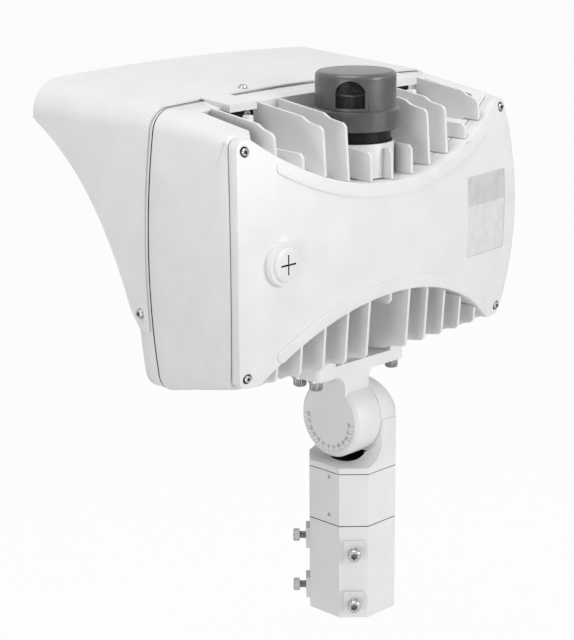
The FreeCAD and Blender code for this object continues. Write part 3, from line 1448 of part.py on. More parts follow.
def led_places(side):
    """The middles of one board's LED packages."""
    for column in LED_COLUMNS:
        for row, level in enumerate(LED_ROWS):
            yield (f"{column + 1}_{row}", f"{beside(side, 'board_x')} + {column} * led_pitch_x",
                   f"{HEAD_Z} + {level} * led_pitch_z")


def light_engine():
    """Two boards of LED packages, each behind a plate of lenses."""
    screws = []
    ways = {name: [] for name in SIDES}
    legs = {name: [] for name in SIDES}
    length = "optic_thickness + optic_stand + led_height + board_thickness + board_screw_grip"
    for name, x, z in board_screw_places():
        board = name.split("_")[0]
        ways[board].append(cylinder(f"board_way_{name}", "board_screw_radius + bolt_clearance", "through",
                                    (x, f"{OPTIC_BACK} - through / 2", z), AXIS_Y))
        legs[board].append(cylinder(f"optic_leg_{name}", "optic_leg_radius",
                                    "overlap + optic_stand + led_height",
                                    (x, f"{OPTIC_BACK} - overlap", z), AXIS_Y))
        screws.append(screw(f"board_screw_{name}", "board_screw_head_radius", "board_screw_head_height",
                            "board_screw_radius", length, (x, f"{OPTIC_BACK} - optic_thickness", z), -AXIS_Y))
    packages = []
    half = "led_size / 2"
    for name, side in SIDES.items():
        middle = beside(side, "board_x")
        across = (f"{middle} - board_half_width", f"{middle} + board_half_width")
        up = (f"{HEAD_Z} - board_half_height", f"{HEAD_Z} + board_half_height")
        board = box(f"led_board_block_{name}", across, (BOARD_FACE, "-base_front"), up)
        node(cut(f"led_board_cut_{name}", board, ways[name]), f"led_board_{name}")
        plate = box(f"optic_plate_{name}", across, (f"{OPTIC_BACK} - optic_thickness", OPTIC_BACK), up)
        lenses = []
        for tag, x, z in led_places(side):
            packages.append(box(f"led_{name}_{tag}", (f"{x} - {half}", f"{x} + {half}"),
                                (f"{BOARD_FACE} - led_height", BOARD_FACE),
                                (f"{z} - {half}", f"{z} + {half}")))
            lens = doc.addObject("Part::Cone", f"lens_{name}_{tag}")
            bind(lens, Radius1="lens_base_radius", Radius2="lens_tip_radius", Height="lens_height + overlap")
            place(lens, (x, f"{OPTIC_BACK} - optic_thickness + overlap", z),
                  FreeCAD.Rotation(AXIS_Z, -AXIS_Y))
            lenses.append(lens)
        optic = fuse(f"optic_solid_{name}", [plate] + lenses + legs[name])
        node(cut(f"optic_cut_{name}", optic, ways[name]), f"optic_lens_{name}")
    node(group("led_package_set", packages), "led_packages")
    node(group("board_screw_set", screws), "optic_screws")


# Driver compartment

COMPARTMENT_FLOOR = "(-base_back)"
TERMINAL_POLES = (-1, 0, 1)


def inner_screw_places():
    """Screws of the driver's two ears."""
    for name, side in SIDES.items():
        yield f"driver_{name}", beside(side, "driver_half_length + driver_ear / 2"), COVER_Z


def floor_block(name, x, half_width, half_height, depth):
    """A block that stands on the compartment's floor, about a place across it."""
    return box(name, (f"{x} - ({half_width})", f"{x} + ({half_width})"),
               (COMPARTMENT_FLOOR, f"{COMPARTMENT_FLOOR} + {depth}"),
               (f"{COVER_Z} - ({half_height})", f"{COVER_Z} + {half_height}"))


def compartment():
    """The driver on its two ears, the surge protector and the terminal block."""
    can = floor_block("driver_can", "head_offset", "driver_half_length", "driver_half_height", "driver_depth")
    ears = floor_block("driver_ears", "head_offset", "driver_half_length + driver_ear",
                       "driver_half_height / 2", "driver_ear_thickness")
    holes = [cylinder(f"driver_hole_{name}", "inner_screw_radius + bolt_clearance", "through",
                      (x, f"{COMPARTMENT_FLOOR} - through / 2", z), AXIS_Y)
             for name, x, z in inner_screw_places()]
    node(cut("driver_cut", fuse("driver_solid", [can, ears]), holes), "led_driver")
    screws = [screw(f"driver_screw_{name}", "inner_screw_head_radius", "inner_screw_head_height",
                    "inner_screw_radius", "inner_screw_length - overlap",
                    (x, f"{COMPARTMENT_FLOOR} + driver_ear_thickness", z), AXIS_Y)
              for name, x, z in inner_screw_places()]
    node(group("driver_screw_set", screws), "driver_screws")
    surge = floor_block("surge_block", beside(-1, "surge_x"), "surge_half_width", "surge_half_height",
                        "surge_depth")
    node(surge, "surge_protector")
    terminal_x = beside(1, "terminal_x")
    block = floor_block("terminal_block_solid", terminal_x, "terminal_half_width", "terminal_half_height",
                        "terminal_depth")
    wells = [cylinder(f"terminal_well_{pole + 1}", "terminal_screw_radius", "through",
                      (f"{terminal_x} + {pole} * terminal_pitch",
                       f"{COMPARTMENT_FLOOR} + terminal_depth - terminal_well", COVER_Z), AXIS_Y)
             for pole in TERMINAL_POLES]
    node(cut("terminal_cut", block, wells), "terminal_block")


# Photocell

BLADES = range(3)
BLADE_TURN = 120
PILLARS = [(1, 1), (-1, 1), (-1, -1), (1, -1)]


def cell_at(height):
    """A place on the photocell's axis."""
    return "head_offset", "cell_y", height


def receptacle():
    """The socket, with a curved slot for each blade, and the gasket under it."""
    stem = "(-receptacle_rise - receptacle_gasket - receptacle_stem)"
    profile = [("0", stem), ("receptacle_stem_radius", stem), ("receptacle_stem_radius", "-receptacle_rise"),
               ("receptacle_radius", "-receptacle_rise"), ("receptacle_radius", "0"), ("0", "0")]
    blank = turned("receptacle_blank", profile, cell_at(RECEPTACLE_TOP))
    slots = []
    for index in BLADES:
        slot = turned(f"receptacle_slot_{index}",
                      [("slot_inner", "-slot_depth"), ("slot_outer", "-slot_depth"),
                       ("slot_outer", "overlap"), ("slot_inner", "overlap")],
                      cell_at(RECEPTACLE_TOP), sweep="slot_sweep")
        slot.Placement.Rotation = FreeCAD.Rotation(AXIS_Z, 0)
        slot.setExpression("Placement.Rotation.Angle", bound(f"{BLADE_TURN * index} - slot_lead"))
        slots.append(slot)
    node(cut("receptacle_cut", blank, slots), "photocell_receptacle")
    seal = washer("receptacle_seal", "receptacle_stem_radius + knuckle_gap",
                  "receptacle_radius + receptacle_gasket", "receptacle_gasket", cell_at(CUP_TOP_Z), AXIS_Z)
    node(seal, "receptacle_gasket")


def photocell():
    """The cap with its arched window, the base with its blades, and the circuit on pillars."""
    cap()
    node(window_pane(), "photocell_window")
    cell_base()
    circuit()


def cap():
    """A stepped, round-topped cup with a raised frame about its window."""
    top = "cell_height"
    bore = "cell_body_radius - cell_wall"
    rim = "cell_body_radius + window_frame_rise"
    shell = turned("cell_outer", [
        ("0", "0"), ("cell_skirt_radius", "0"), ("cell_skirt_radius", "cell_skirt_height"),
        ("cell_body_radius", "cell_skirt_height + cell_shoulder"),
        ("cell_body_radius", f"{top} - cell_round", "cell_round"), ("cell_body_radius - cell_round", top),
        ("0", top)], cell_at(CELL_Z))
    hollow = turned("cell_inner", [("0", "-overlap"), (bore, "-overlap"), (bore, f"{top} - cell_wall"),
                                   ("0", f"{top} - cell_wall")], cell_at(CELL_Z))
    band = common("window_frame_band", [arch("window_frame_outer", "window_frame", rim),
                                        cylinder("window_frame_rod", rim, top, cell_at(CELL_Z))])
    way = arch("window_way", "0", "2 * cell_body_radius")
    node(cut("cell_cut", fuse("cell_solid", [shell, band]), [hollow, way]), "photocell_cap")


def window_pane():
    """A curved pane set just inside the cap's window."""
    outer = "cell_body_radius - window_inset"
    tube = cut("window_pane_tube", cylinder("window_pane_outer", outer, "cell_height", cell_at(CELL_Z)),
               [cylinder("window_pane_inner", f"{outer} - window_thickness", "cell_height", cell_at(CELL_Z))])
    return common("window_pane", [arch("window_pane_arch", "-window_fit", "cell_skirt_radius"), tube])


def cell_base():
    """The photocell's floor, with pillars for the circuit board and three blades through it."""
    base = cylinder("cell_base_plate", "cell_body_radius - cell_wall - cell_fit", "cell_base_thickness",
                    cell_at(CELL_Z))
    pillars = [cylinder(f"circuit_pillar_{index}", "pillar_radius",
                        "circuit_height - cell_base_thickness + overlap",
                        (f"head_offset + {x} * (circuit_half_length - pillar_inset)",
                         f"cell_y + {y} * (circuit_half_width - pillar_inset)",
                         f"{CELL_Z} + cell_base_thickness - overlap"))
               for index, (x, y) in enumerate(PILLARS)]
    blades = [blade(f"blade_{index}", index, "0", "blade_length", "cell_base_thickness + blade_tail")
              for index in BLADES]
    ways = [blade(f"blade_way_{index}", index, "thread_clearance", "overlap", "cell_base_thickness + overlap")
            for index in BLADES]
    node(cut("cell_base_cut", fuse("cell_base_solid", [base] + pillars), ways), "photocell_base")
    node(group("blade_set", blades), "photocell_blades")


def blade(name, index, grow, below, above):
    """A flat contact, from below the photocell's floor to above it."""
    thin = f"(blade_thickness / 2 + ({grow}))"
    wide = f"(blade_width / 2 + ({grow}))"
    corners = [(f"blade_radius - {thin}", f"-{wide}"), (f"blade_radius + {thin}", f"-{wide}"),
               (f"blade_radius + {thin}", wide), (f"blade_radius - {thin}", wide)]
    sketch = outline(f"{name}_outline", "XY", cell_at(f"{CELL_Z} - ({below})"), corners)
    sketch.Placement.Rotation = FreeCAD.Rotation(AXIS_Z, BLADE_TURN * index)
    return extrude(name, sketch, AXIS_Z, f"{below} + {above}")


def arch(name, grow, reach):
    """A block with an arched top that runs out of the cell towards its window's side."""
    wide = f"(window_half_width + ({grow}))"
    low = f"(window_sill - ({grow}))"
    spring = "(window_sill + window_height - window_half_width)"
    sketch = outline(f"{name}_outline", "XZ", ("0", "0", "0"),
                     [(f"-{wide}", low), (wide, low), (wide, spring, f"{wide} * window_arch"),
                      (f"-{wide}", spring)])
    block = extrude(name, sketch, -AXIS_Y, reach)
    place(block, cell_at(CELL_Z), FreeCAD.Rotation(AXIS_Z, 1))
    block.setExpression("Placement.Rotation.Angle", bound("window_turn + 90"))
    return block


def circuit():
    """The photocell's board with its light sensor, relay and capacitor."""
    low = f"({CELL_Z} + circuit_height)"
    top = f"({low} + circuit_thickness)"
    board = box("circuit_board_block",
                ("head_offset - circuit_half_length", "head_offset + circuit_half_length"),
                ("cell_y - circuit_half_width", "cell_y + circuit_half_width"), (low, top))
    node(board, "photocell_circuit_board")
    sensor = cylinder("sensor_body", "sensor_radius", "sensor_height",
                      ("head_offset + sensor_reach * cos(window_turn)",
                       "cell_y + sensor_reach * sin(window_turn)", top))
    node(sensor, "photocell_sensor")
    relay_x = "head_offset - circuit_part_offset"
    relay = box("relay_block", (f"{relay_x} - relay_half_width", f"{relay_x} + relay_half_width"),
                ("cell_y - relay_half_width", "cell_y + relay_half_width"), (top, f"{top} + relay_height"))
    capacitor = cylinder("capacitor_body", "capacitor_radius", "capacitor_height",
                         ("head_offset + capacitor_x", "cell_y - circuit_part_offset", top))
    node(group("circuit_parts", [relay, capacitor]), "photocell_circuit_parts")


# Whole object

def build():
    slip_fitter()
    extension_collar()
    joint_bolts()
    set_screws()
    knuckle_arm()
    tilt_bracket()
    bracket_fasteners()
    pivot_fasteners()
    housing()
    rear_cover()
    cover_gasket()
    cover_screws()
    closure_plug()
    front_frame()
    frame_screws()
    glazing()
    lens_clips()
    visor()
    visor_screws()
    light_engine()
    compartment()
    receptacle()
    photocell()


def check():
    """Stop before anything is written if a step of the model failed."""
    for item in doc.Objects:
        if "Invalid" in item.State or "Error" in item.State:
            raise RuntimeError(f"{item.Label} failed: {item.State}")
    for item in nodes:
        shape = item.Shape
        if shape.isNull() or not shape.isValid() or not shape.Solids:
            raise RuntimeError(f"{item.Label} has no sound solid")


build()
doc.recompute()
check()
os.makedirs("parts", exist_ok=True)
for item in nodes:
    item.Shape.exportStep(f"parts/{item.Label}.step")
    print(item.Label, len(item.Shape.Solids), round(item.Shape.Volume))
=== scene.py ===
import json
import math

import bmesh
import bpy
from mathutils import Matrix, Vector

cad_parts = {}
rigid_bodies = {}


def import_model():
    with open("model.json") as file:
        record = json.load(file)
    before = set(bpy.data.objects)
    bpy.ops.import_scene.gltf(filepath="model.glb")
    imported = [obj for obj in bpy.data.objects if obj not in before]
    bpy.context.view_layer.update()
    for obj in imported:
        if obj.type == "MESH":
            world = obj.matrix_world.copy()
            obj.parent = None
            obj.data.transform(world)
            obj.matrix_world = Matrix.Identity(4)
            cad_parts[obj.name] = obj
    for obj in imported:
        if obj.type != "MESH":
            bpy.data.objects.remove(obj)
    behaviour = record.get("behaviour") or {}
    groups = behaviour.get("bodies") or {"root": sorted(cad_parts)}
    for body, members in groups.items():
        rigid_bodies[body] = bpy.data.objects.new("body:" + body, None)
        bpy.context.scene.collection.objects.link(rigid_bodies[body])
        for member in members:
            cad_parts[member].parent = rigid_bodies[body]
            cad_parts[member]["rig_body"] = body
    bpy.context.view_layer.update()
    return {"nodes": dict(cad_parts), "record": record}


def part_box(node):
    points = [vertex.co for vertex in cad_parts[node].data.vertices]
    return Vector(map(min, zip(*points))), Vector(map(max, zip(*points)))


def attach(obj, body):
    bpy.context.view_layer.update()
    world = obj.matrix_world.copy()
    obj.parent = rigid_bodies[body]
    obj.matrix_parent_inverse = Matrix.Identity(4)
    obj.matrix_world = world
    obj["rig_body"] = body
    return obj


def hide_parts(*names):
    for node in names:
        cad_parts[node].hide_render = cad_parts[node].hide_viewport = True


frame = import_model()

# Looks for a pole-top LED flood light: paint, metal, rubber, glass and the small detail
# that is laid over the CAD solids. The scene is in metres, in the same frame as the solids.
# Sizes of pieces are named in millimetres, and the stage, lamps and camera in metres.

MM = 0.001
NODES = frame["nodes"]
SLOT_OF = {entry["node"]: entry["material_slot"] for entry in frame["record"]["subparts"]}

# Places that several pieces share
HEAD_MIDDLE = 8.8
PIVOT_HEIGHT = 204.7

# Photograph's camera: angles in degrees, distance in metres, focal length in pixels
PICTURE_HEIGHT = 640
FOCAL_PIXELS = 1791.1
SENSOR = 36.0
AZIMUTH = 134.75
ELEVATION = 15.26
ROLL = -0.38
DISTANCE = 1.7758
TARGET_ACROSS = -0.06502
TARGET_HEIGHT = 0.30085
FAR_CLIP = 100.0


# Node helpers

GLOSS_BAND = (0.3, 0.7)
MOTTLE_BAND = (0.35, 0.65)
PLAIN_SHAPE = (0.43, 0.57)
CORNER_SHADE_BAND = (0.1, 0.65)
CORNER_SHADE_SAMPLES = 6


def new_material(name):
    """A material with a plain Principled surface."""
    material = bpy.data.materials.new(name)
    material.use_nodes = True
    tree = material.node_tree
    return material, tree, tree.nodes["Principled BSDF"]


def settle(shader, **values):
    """Set plain values on a shader's sockets: underscores stand for spaces."""
    for name, setting in values.items():
        shader.inputs[name.replace("_", " ")].default_value = setting


def noise(tree, cells, detail=3.0):
    """A noise of so many cells to the metre, fixed to the object."""
    texture = tree.nodes.new("ShaderNodeTexNoise")
    settle(texture, Scale=cells, Detail=detail, Roughness=0.5)
    place = tree.nodes.new("ShaderNodeTexCoord").outputs["Object"]
    tree.links.new(place, texture.inputs["Vector"])
    return texture.outputs["Fac"]


def spread(tree, source, low, high):
    """Map a noise to a range of numbers."""
    ramp = tree.nodes.new("ShaderNodeMapRange")
    settle(ramp, From_Min=GLOSS_BAND[0], From_Max=GLOSS_BAND[1], To_Min=low, To_Max=high)
    tree.links.new(source, ramp.inputs["Value"])
    return ramp.outputs["Result"]


def tint(tree, source, first, second, band):
    """Map a band of numbers to a blend of two colours."""
    ramp = tree.nodes.new("ShaderNodeValToRGB")
    for stop, place, colour in zip(ramp.color_ramp.elements, band, (first, second)):
        stop.position = place
        stop.color = (*colour, 1.0)
    tree.links.new(source, ramp.inputs["Fac"])
    return ramp.outputs["Color"]


def grain(tree, shader, height, strength, depth):
    """A fine relief on the surface."""
    bump = tree.nodes.new("ShaderNodeBump")
    settle(bump, Strength=strength, Distance=depth)
    tree.links.new(height, bump.inputs["Height"])
    tree.links.new(bump.outputs["Normal"], shader.inputs["Normal"])


def worn(tree, colour, crevice, ridge):
    """Darken a colour in crevices as painted shade and brighten it on ridges as painted highlight."""
    shape = tree.nodes.new("ShaderNodeNewGeometry").outputs["Pointiness"]
    return times(tree, colour, tint(tree, shape, grey(crevice), grey(ridge), PLAIN_SHAPE))


def dusty(tree, colour, reach, deepest):
    """Darken a colour as painted shade where the surface is hemmed in: deep between fins and in corners."""
    corners = tree.nodes.new("ShaderNodeAmbientOcclusion")
    corners.samples = CORNER_SHADE_SAMPLES
    corners.only_local = True
    corners.inputs["Distance"].default_value = reach
    return times(tree, colour, tint(tree, corners.outputs["AO"], grey(deepest), grey(1.0), CORNER_SHADE_BAND))


def times(tree, first, second):
    """Multiply two colours."""
    both = tree.nodes.new("ShaderNodeVectorMath")
    both.operation = "MULTIPLY"
    tree.links.new(first, both.inputs[0])
    tree.links.new(second, both.inputs[1])
    return both.outputs[0]


def grey(level):
    """A colour without hue."""
    return (level, level, level)


# Materials

SMEAR_CELLS = 30
SMEAR_DETAIL = 6.0
RELIEF_DETAIL = 2.0


def finish(name, first, second, cells, rough, relief, wear=None, dust=None, **plain):
    """A surface with mottled colour, uneven gloss, a fine relief and, where asked, painted shade in
    crevices and corners and painted highlight on ridges.
    """
    material, tree, shader = new_material(name)
    mottle = noise(tree, cells)
    colour = tint(tree, mottle, first, second, MOTTLE_BAND)
    # painted shade in crevices and painted highlight on ridges
    if wear:
        colour = worn(tree, colour, *wear)
    # painted shade deep between fins and in corners
    if dust:
        colour = dusty(tree, colour, *dust)
    tree.links.new(colour, shader.inputs["Base Color"])
    tree.links.new(spread(tree, mottle, *rough), shader.inputs["Roughness"])
    relief_cells, strength, depth = relief
    grain(tree, shader, noise(tree, relief_cells, RELIEF_DETAIL), strength, depth)
    settle(shader, **plain)
    return material


def see_through(name, colour, rough, clear, ior):
    """A clear material with faint smears in its gloss."""
    material, tree, shader = new_material(name)
    smears = noise(tree, SMEAR_CELLS, SMEAR_DETAIL)
    tree.links.new(spread(tree, smears, *rough), shader.inputs["Roughness"])
    settle(shader, Base_Color=(*colour, 1.0), Transmission_Weight=clear, IOR=ior)
    return material


# Two colours and the mottle's cells to the metre, the range of roughness, the relief's cells to the metre,
# strength and depth in metres, the shades of painted shade in crevices and painted highlight on ridges, and
# the reach and darkest shade of painted shade in corners
FINISHES = {
    # White paint: darker between fins and in corners as painted shade.
    "white_paint": dict(first=grey(0.79), second=grey(0.82), cells=35, rough=(0.34, 0.44),
                        relief=(900, 0.12, 0.0002), dust=(0.022, 0.5), Specular_IOR_Level=0.45),
    # The steels: darker in crevices as painted shade and brighter on ridges as painted highlight.
    "stainless": dict(first=grey(0.36), second=grey(0.50), cells=600, rough=(0.2, 0.36),
                      relief=(2500, 0.2, 0.0001), wear=(0.06, 1.6), Metallic=1.0),
    "dark_steel": dict(first=grey(0.10), second=grey(0.18), cells=700, rough=(0.28, 0.45),
                       relief=(2500, 0.3, 0.0001), wear=(0.2, 2.6), Metallic=1.0),
    "black_rubber": dict(first=grey(0.006), second=grey(0.014), cells=400, rough=(0.6, 0.8),
                         relief=(2500, 0.3, 0.0002), Specular_IOR_Level=0.15),
    "black_plastic": dict(first=grey(0.006), second=grey(0.012), cells=200, rough=(0.3, 0.42),
                          relief=(3000, 0.2, 0.0001), Specular_IOR_Level=0.22),
    "grey_plastic": dict(first=grey(0.088), second=grey(0.105), cells=120, rough=(0.3, 0.4),
                         relief=(2200, 0.15, 0.0001), Coat_Weight=0.25, Coat_Roughness=0.1),
    "board_white": dict(first=(0.80, 0.80, 0.77), second=(0.86, 0.86, 0.83), cells=300, rough=(0.35, 0.5),
                        relief=(1500, 0.15, 0.0001)),
    "board_green": dict(first=(0.01, 0.09, 0.03), second=(0.03, 0.17, 0.07), cells=900, rough=(0.3, 0.45),
                        relief=(1500, 0.4, 0.0002)),
    "phosphor": dict(first=(0.85, 0.60, 0.08), second=(0.95, 0.72, 0.14), cells=1500, rough=(0.45, 0.6),
                     relief=(4000, 0.2, 0.0001)),
    "driver_case": dict(first=grey(0.60), second=grey(0.68), cells=150, rough=(0.4, 0.55),
                        relief=(1200, 0.2, 0.0002)),
    "blade_brass": dict(first=(0.70, 0.52, 0.24), second=(0.78, 0.60, 0.30), cells=600, rough=(0.25, 0.4),
                        relief=(2500, 0.15, 0.0001), Metallic=1.0),
    "circuit_black": dict(first=grey(0.02), second=grey(0.05), cells=500, rough=(0.35, 0.5),
                          relief=(2500, 0.2, 0.0001)),
    "label_foil": dict(first=grey(0.58), second=grey(0.64), cells=80, rough=(0.3, 0.45),
                       relief=(700, 0.1, 0.0001)),
    "label_film": dict(first=grey(0.70), second=grey(0.76), cells=80, rough=(0.3, 0.45),
                       relief=(700, 0.1, 0.0001)),
    # Mid grey on the cast marks: painted shade of their relief.
    "mark_shade_grey": dict(first=grey(0.36), second=grey(0.46), cells=500, rough=(0.4, 0.55),
                       relief=(1500, 0.2, 0.0001)),
}
CLEAR = {
    "clear_glass": dict(colour=(0.93, 0.97, 0.96), rough=(0.01, 0.05), clear=1.0, ior=1.5),
    "clear_plastic": dict(colour=(0.96, 0.97, 0.97), rough=(0.04, 0.10), clear=0.9, ior=1.49),
    "smoked_window": dict(colour=(0.42, 0.42, 0.44), rough=(0.02, 0.06), clear=0.97, ior=1.1),
}
MATERIALS = {name: finish(name, **look) for name, look in FINISHES.items()}
MATERIALS.update({name: see_through(name, **look) for name, look in CLEAR.items()})


# CAD nodes: each one's finish, and slightly round edges on the cast and turned ones

EDGE_WIDTHS = {
    "heat_sink_housing": 0.6,
    "rear_cover": 0.8,
    "front_frame": 0.6,
    "slip_fitter": 0.6,
    "extension_collar": 0.3,
    "tilt_bracket": 1.2,
    "bracket_washers": 0.3,
    "pivot_washer": 0.3,
}
EDGE_ANGLE = math.radians(32)
EDGE_STEPS = 2
WELD = 0.01


def dress_nodes():
    """Give each CAD node its finish."""
    for node, slot in SLOT_OF.items():
        mesh = NODES[node].data
        mesh.materials.clear()
        mesh.materials.append(MATERIALS[slot])


def soften(item, width):
    """Make an object's edges slightly round."""
    weld = item.modifiers.new("weld", "WELD")
    weld.merge_threshold = WELD * MM
    bevel = item.modifiers.new("edges", "BEVEL")
    bevel.width = width * MM
    bevel.segments = EDGE_STEPS
    bevel.limit_method = "ANGLE"
    bevel.angle_limit = EDGE_ANGLE
    bevel.harden_normals = True


def soften_edges():
    """Soften the CAD nodes that have cast or turned edges."""
    for node, width in EDGE_WIDTHS.items():
        soften(NODES[node], width)


# New pieces

SHARP = math.radians(35)


def add_piece(name, mesh, body, slot, *materials):
    """Turn a built mesh into a piece that rides on a body, with a slot's finish or its own ones."""
    data = bpy.data.meshes.new(name)
    mesh.to_mesh(data)
    mesh.free()
    if "custom_normal" in data.attributes:
        data.attributes.remove(data.attributes["custom_normal"])
    data.shade_smooth()
    data.set_sharp_from_angle(angle=SHARP)
    for material in materials or (MATERIALS[slot],):
        data.materials.append(material)
    item = bpy.data.objects.new(name, data)
    bpy.context.scene.collection.objects.link(item)
    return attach(item, body)


def copied(node):
    """A welded copy of a CAD node's mesh."""
    mesh = bmesh.new()
    mesh.from_mesh(NODES[node].data)
    bmesh.ops.remove_doubles(mesh, verts=mesh.verts, dist=WELD * MM)
    return mesh


def join_loops(mesh, loops, joined=False):
    """Faces from each loop of points to the next: the last is joined to the first, or both are capped."""
    following = loops[1:] + loops[:1] if joined else loops[1:]
    for low, high in zip(loops, following):
        for index in range(len(low)):
            after = (index + 1) % len(low)
            mesh.faces.new((low[index], low[after], high[after], high[index]))
    if not joined:
        mesh.faces.new(loops[0][::-1])
        mesh.faces.new(loops[-1])


# Fasteners: rings of points about an axis, each a height and a radius at every angle

FULL_TURN = 2 * math.pi
TINY = 1e-6


def circle(radius):
    """A round outline."""
    return lambda angle: radius


def hexagon(flats):
    """A hexagon with a distance between its flats."""
    sixth = FULL_TURN / 6
    return lambda angle: flats / 2 / math.cos((angle + sixth / 2) % sixth - sixth / 2)


def knurled(radius, depth, ridges=24):
    """A round outline with ridges."""
    return lambda angle: radius - depth * (1 - math.cos(ridges * angle)) / 2


def crossed(reach, half):
    """A cross whose arms have a reach and a half-width."""
    def radius(angle):
        across = max(abs(math.cos(angle)), TINY)
        up = max(abs(math.sin(angle)), TINY)
        return max(min(reach / across, half / up), min(reach / up, half / across))
    return radius


def rounds(profile, height=1.0, radius=1.0):
    """Round rings from heights and radii, or from shares of a height and a radius."""
    return [(tall * height, circle(wide * radius)) for tall, wide in profile]


THREAD_DEPTH = 0.5
RINGS_PER_PITCH = 4


def threaded(radius, pitch, height):
    """The outline across a screw thread at one height."""
    def at(angle):
        turn = (height / pitch - angle / FULL_TURN) % 1.0
        return radius - THREAD_DEPTH * pitch * abs(2 * turn - 1)
    return at


def thread(radius, pitch, tip, seat):
    """Rings of a threaded shank from its drawn-in tip to the head."""
    steps = round((seat - tip) / pitch * RINGS_PER_PITCH)
    rings = [(tip, circle(radius - THREAD_DEPTH * pitch))]
    for step in range(1, steps + 1):
        height = tip + (seat - tip) * step / steps
        rings.append((height, threaded(radius, pitch, height)))
    return rings


# Heads: shares of the head's height and radius, and pitches to a shank's radius
RECESS_DEPTH = 0.6
PAN_PITCHES = 2.5
PAN_HEAD = ((-1.0, 1.0), (-0.5, 1.0), (-0.2, 0.93), (0.0, 0.74))
SOCKET_PITCHES = 3.2
SOCKET_FOOT = ((-1.0, 0.93),)
SOCKET_CROWN = ((-0.12, 0.95), (0.0, 0.84))
KNURL_ENDS = (-0.95, -0.15)
KNURL_DEPTH = 0.07
BOLT_PITCHES = 3.5
BOLT_ENDS = (-0.9, -0.16)
BOLT_TURNED = 0.47


def recessed(outline, height):
    """Rings of a recess in a head's top."""
    return [(0.0, outline), (-RECESS_DEPTH * height, outline)]


def pan_screw(length, radius, height, shank, recess):
    """A low round head with a recess."""
    return (thread(shank, shank / PAN_PITCHES, -length, -height) + rounds(PAN_HEAD, height, radius)
            + recessed(recess, height))


def socket_screw(length, radius, height, shank, flats):
    """A tall knurled head with a hexagon socket."""
    side = knurled(radius, KNURL_DEPTH * radius)
    return (thread(shank, shank / SOCKET_PITCHES, -length, -height) + rounds(SOCKET_FOOT, height, radius)
            + [(end * height, side) for end in KNURL_ENDS] + rounds(SOCKET_CROWN, height, radius)
            + recessed(hexagon(flats), height))


def hexagon_bolt(length, flats, height, shank):
    """A hexagon head with turned-off corners."""
    turned = circle(BOLT_TURNED * flats)
    return (thread(shank, shank / BOLT_PITCHES, -length, -height) + [(-height, turned)]
            + [(end * height, hexagon(flats)) for end in BOLT_ENDS] + [(0.0, turned)])


PLUG_RADIUS = 11.0
PLUG_PITCH = 1.5
PLUG_HEAD = ((-3.0, 15.5), (-0.9, 15.5), (-0.3, 15.2), (0.0, 14.5))
PLUG_SLOT = crossed(reach=9.5, half=0.8)
PLUG_SLOT_DEPTH = 6.0


def closure_plug(length):
    """A broad flat head with a deep crossed slot above a fine thread."""
    return (thread(PLUG_RADIUS, PLUG_PITCH, -length, PLUG_HEAD[0][0]) + rounds(PLUG_HEAD)
            + [(0.0, PLUG_SLOT), (-PLUG_SLOT_DEPTH, PLUG_SLOT)])


def add_rings(mesh, rings, place, segments, joined=False):
    """Add a closed solid of rings, standing at a place: capped, or with its ends joined round."""
    loops = []
    for height, radius in rings:
        loop = []
        for index in range(segments):
            angle = FULL_TURN * index / segments
            reach = radius(angle)
            spot = Vector((reach * math.cos(angle), reach * math.sin(angle), height)) * MM
            loop.append(mesh.verts.new(place @ spot))
        loops.append(loop)
    join_loops(mesh, loops, joined)


def separate_solids(node):
    """The points of each separate solid of a CAD node."""
    graph = copied(node)
    seen = set()
    solids = []
    for start in graph.verts:
        if start in seen:
            continue
        seen.add(start)
        front = [start]
        found = []
        while front:
            vertex = front.pop()
            found.append(vertex.co.copy())
            for edge in vertex.link_edges:
                other = edge.other_vert(vertex)
                if other not in seen:
                    seen.add(other)
                    front.append(other)
        solids.append(found)
    graph.free()
    return solids


def standing(points, axis):
    """A rod's top as a matrix whose Z is the rod's axis, and its length in millimetres."""
    turn = axis.to_track_quat("Z", "Y").to_matrix()
    local = [turn.transposed() @ point for point in points]
    low = Vector([min(point[index] for point in local) for index in range(3)])
    high = Vector([max(point[index] for point in local) for index in range(3)])
    top = Vector(((low.x + high.x) / 2, (low.y + high.y) / 2, high.z))
    return Matrix.Translation(turn @ top) @ turn.to_4x4(), (high.z - low.z) / MM


VISOR_TOP_BAND = 60.0


def outward(points):
    """The way a visor screw faces: up on the hood's top, and out at its sides."""
    middle = sum(points, Vector()) / len(points)
    if middle.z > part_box("visor")[1].z - VISOR_TOP_BAND * MM:
        return Vector((0, 0, 1))
    centre = sum(corner.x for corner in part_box("rear_cover")) / 2
    return Vector((1 if middle.x > centre else -1, 0, 0))


HALF = math.sqrt(0.5)
TOWARDS_REAR = Vector((0, 1, 0))
TOWARDS_FRONT = Vector((0, -1, 0))
TOWARDS_FAR_SIDE = Vector((-1, 0, 0))
DOWN = Vector((0, 0, -1))
COARSE = 60
MIDDLING = 72
FINE = 96
FINEST = 240
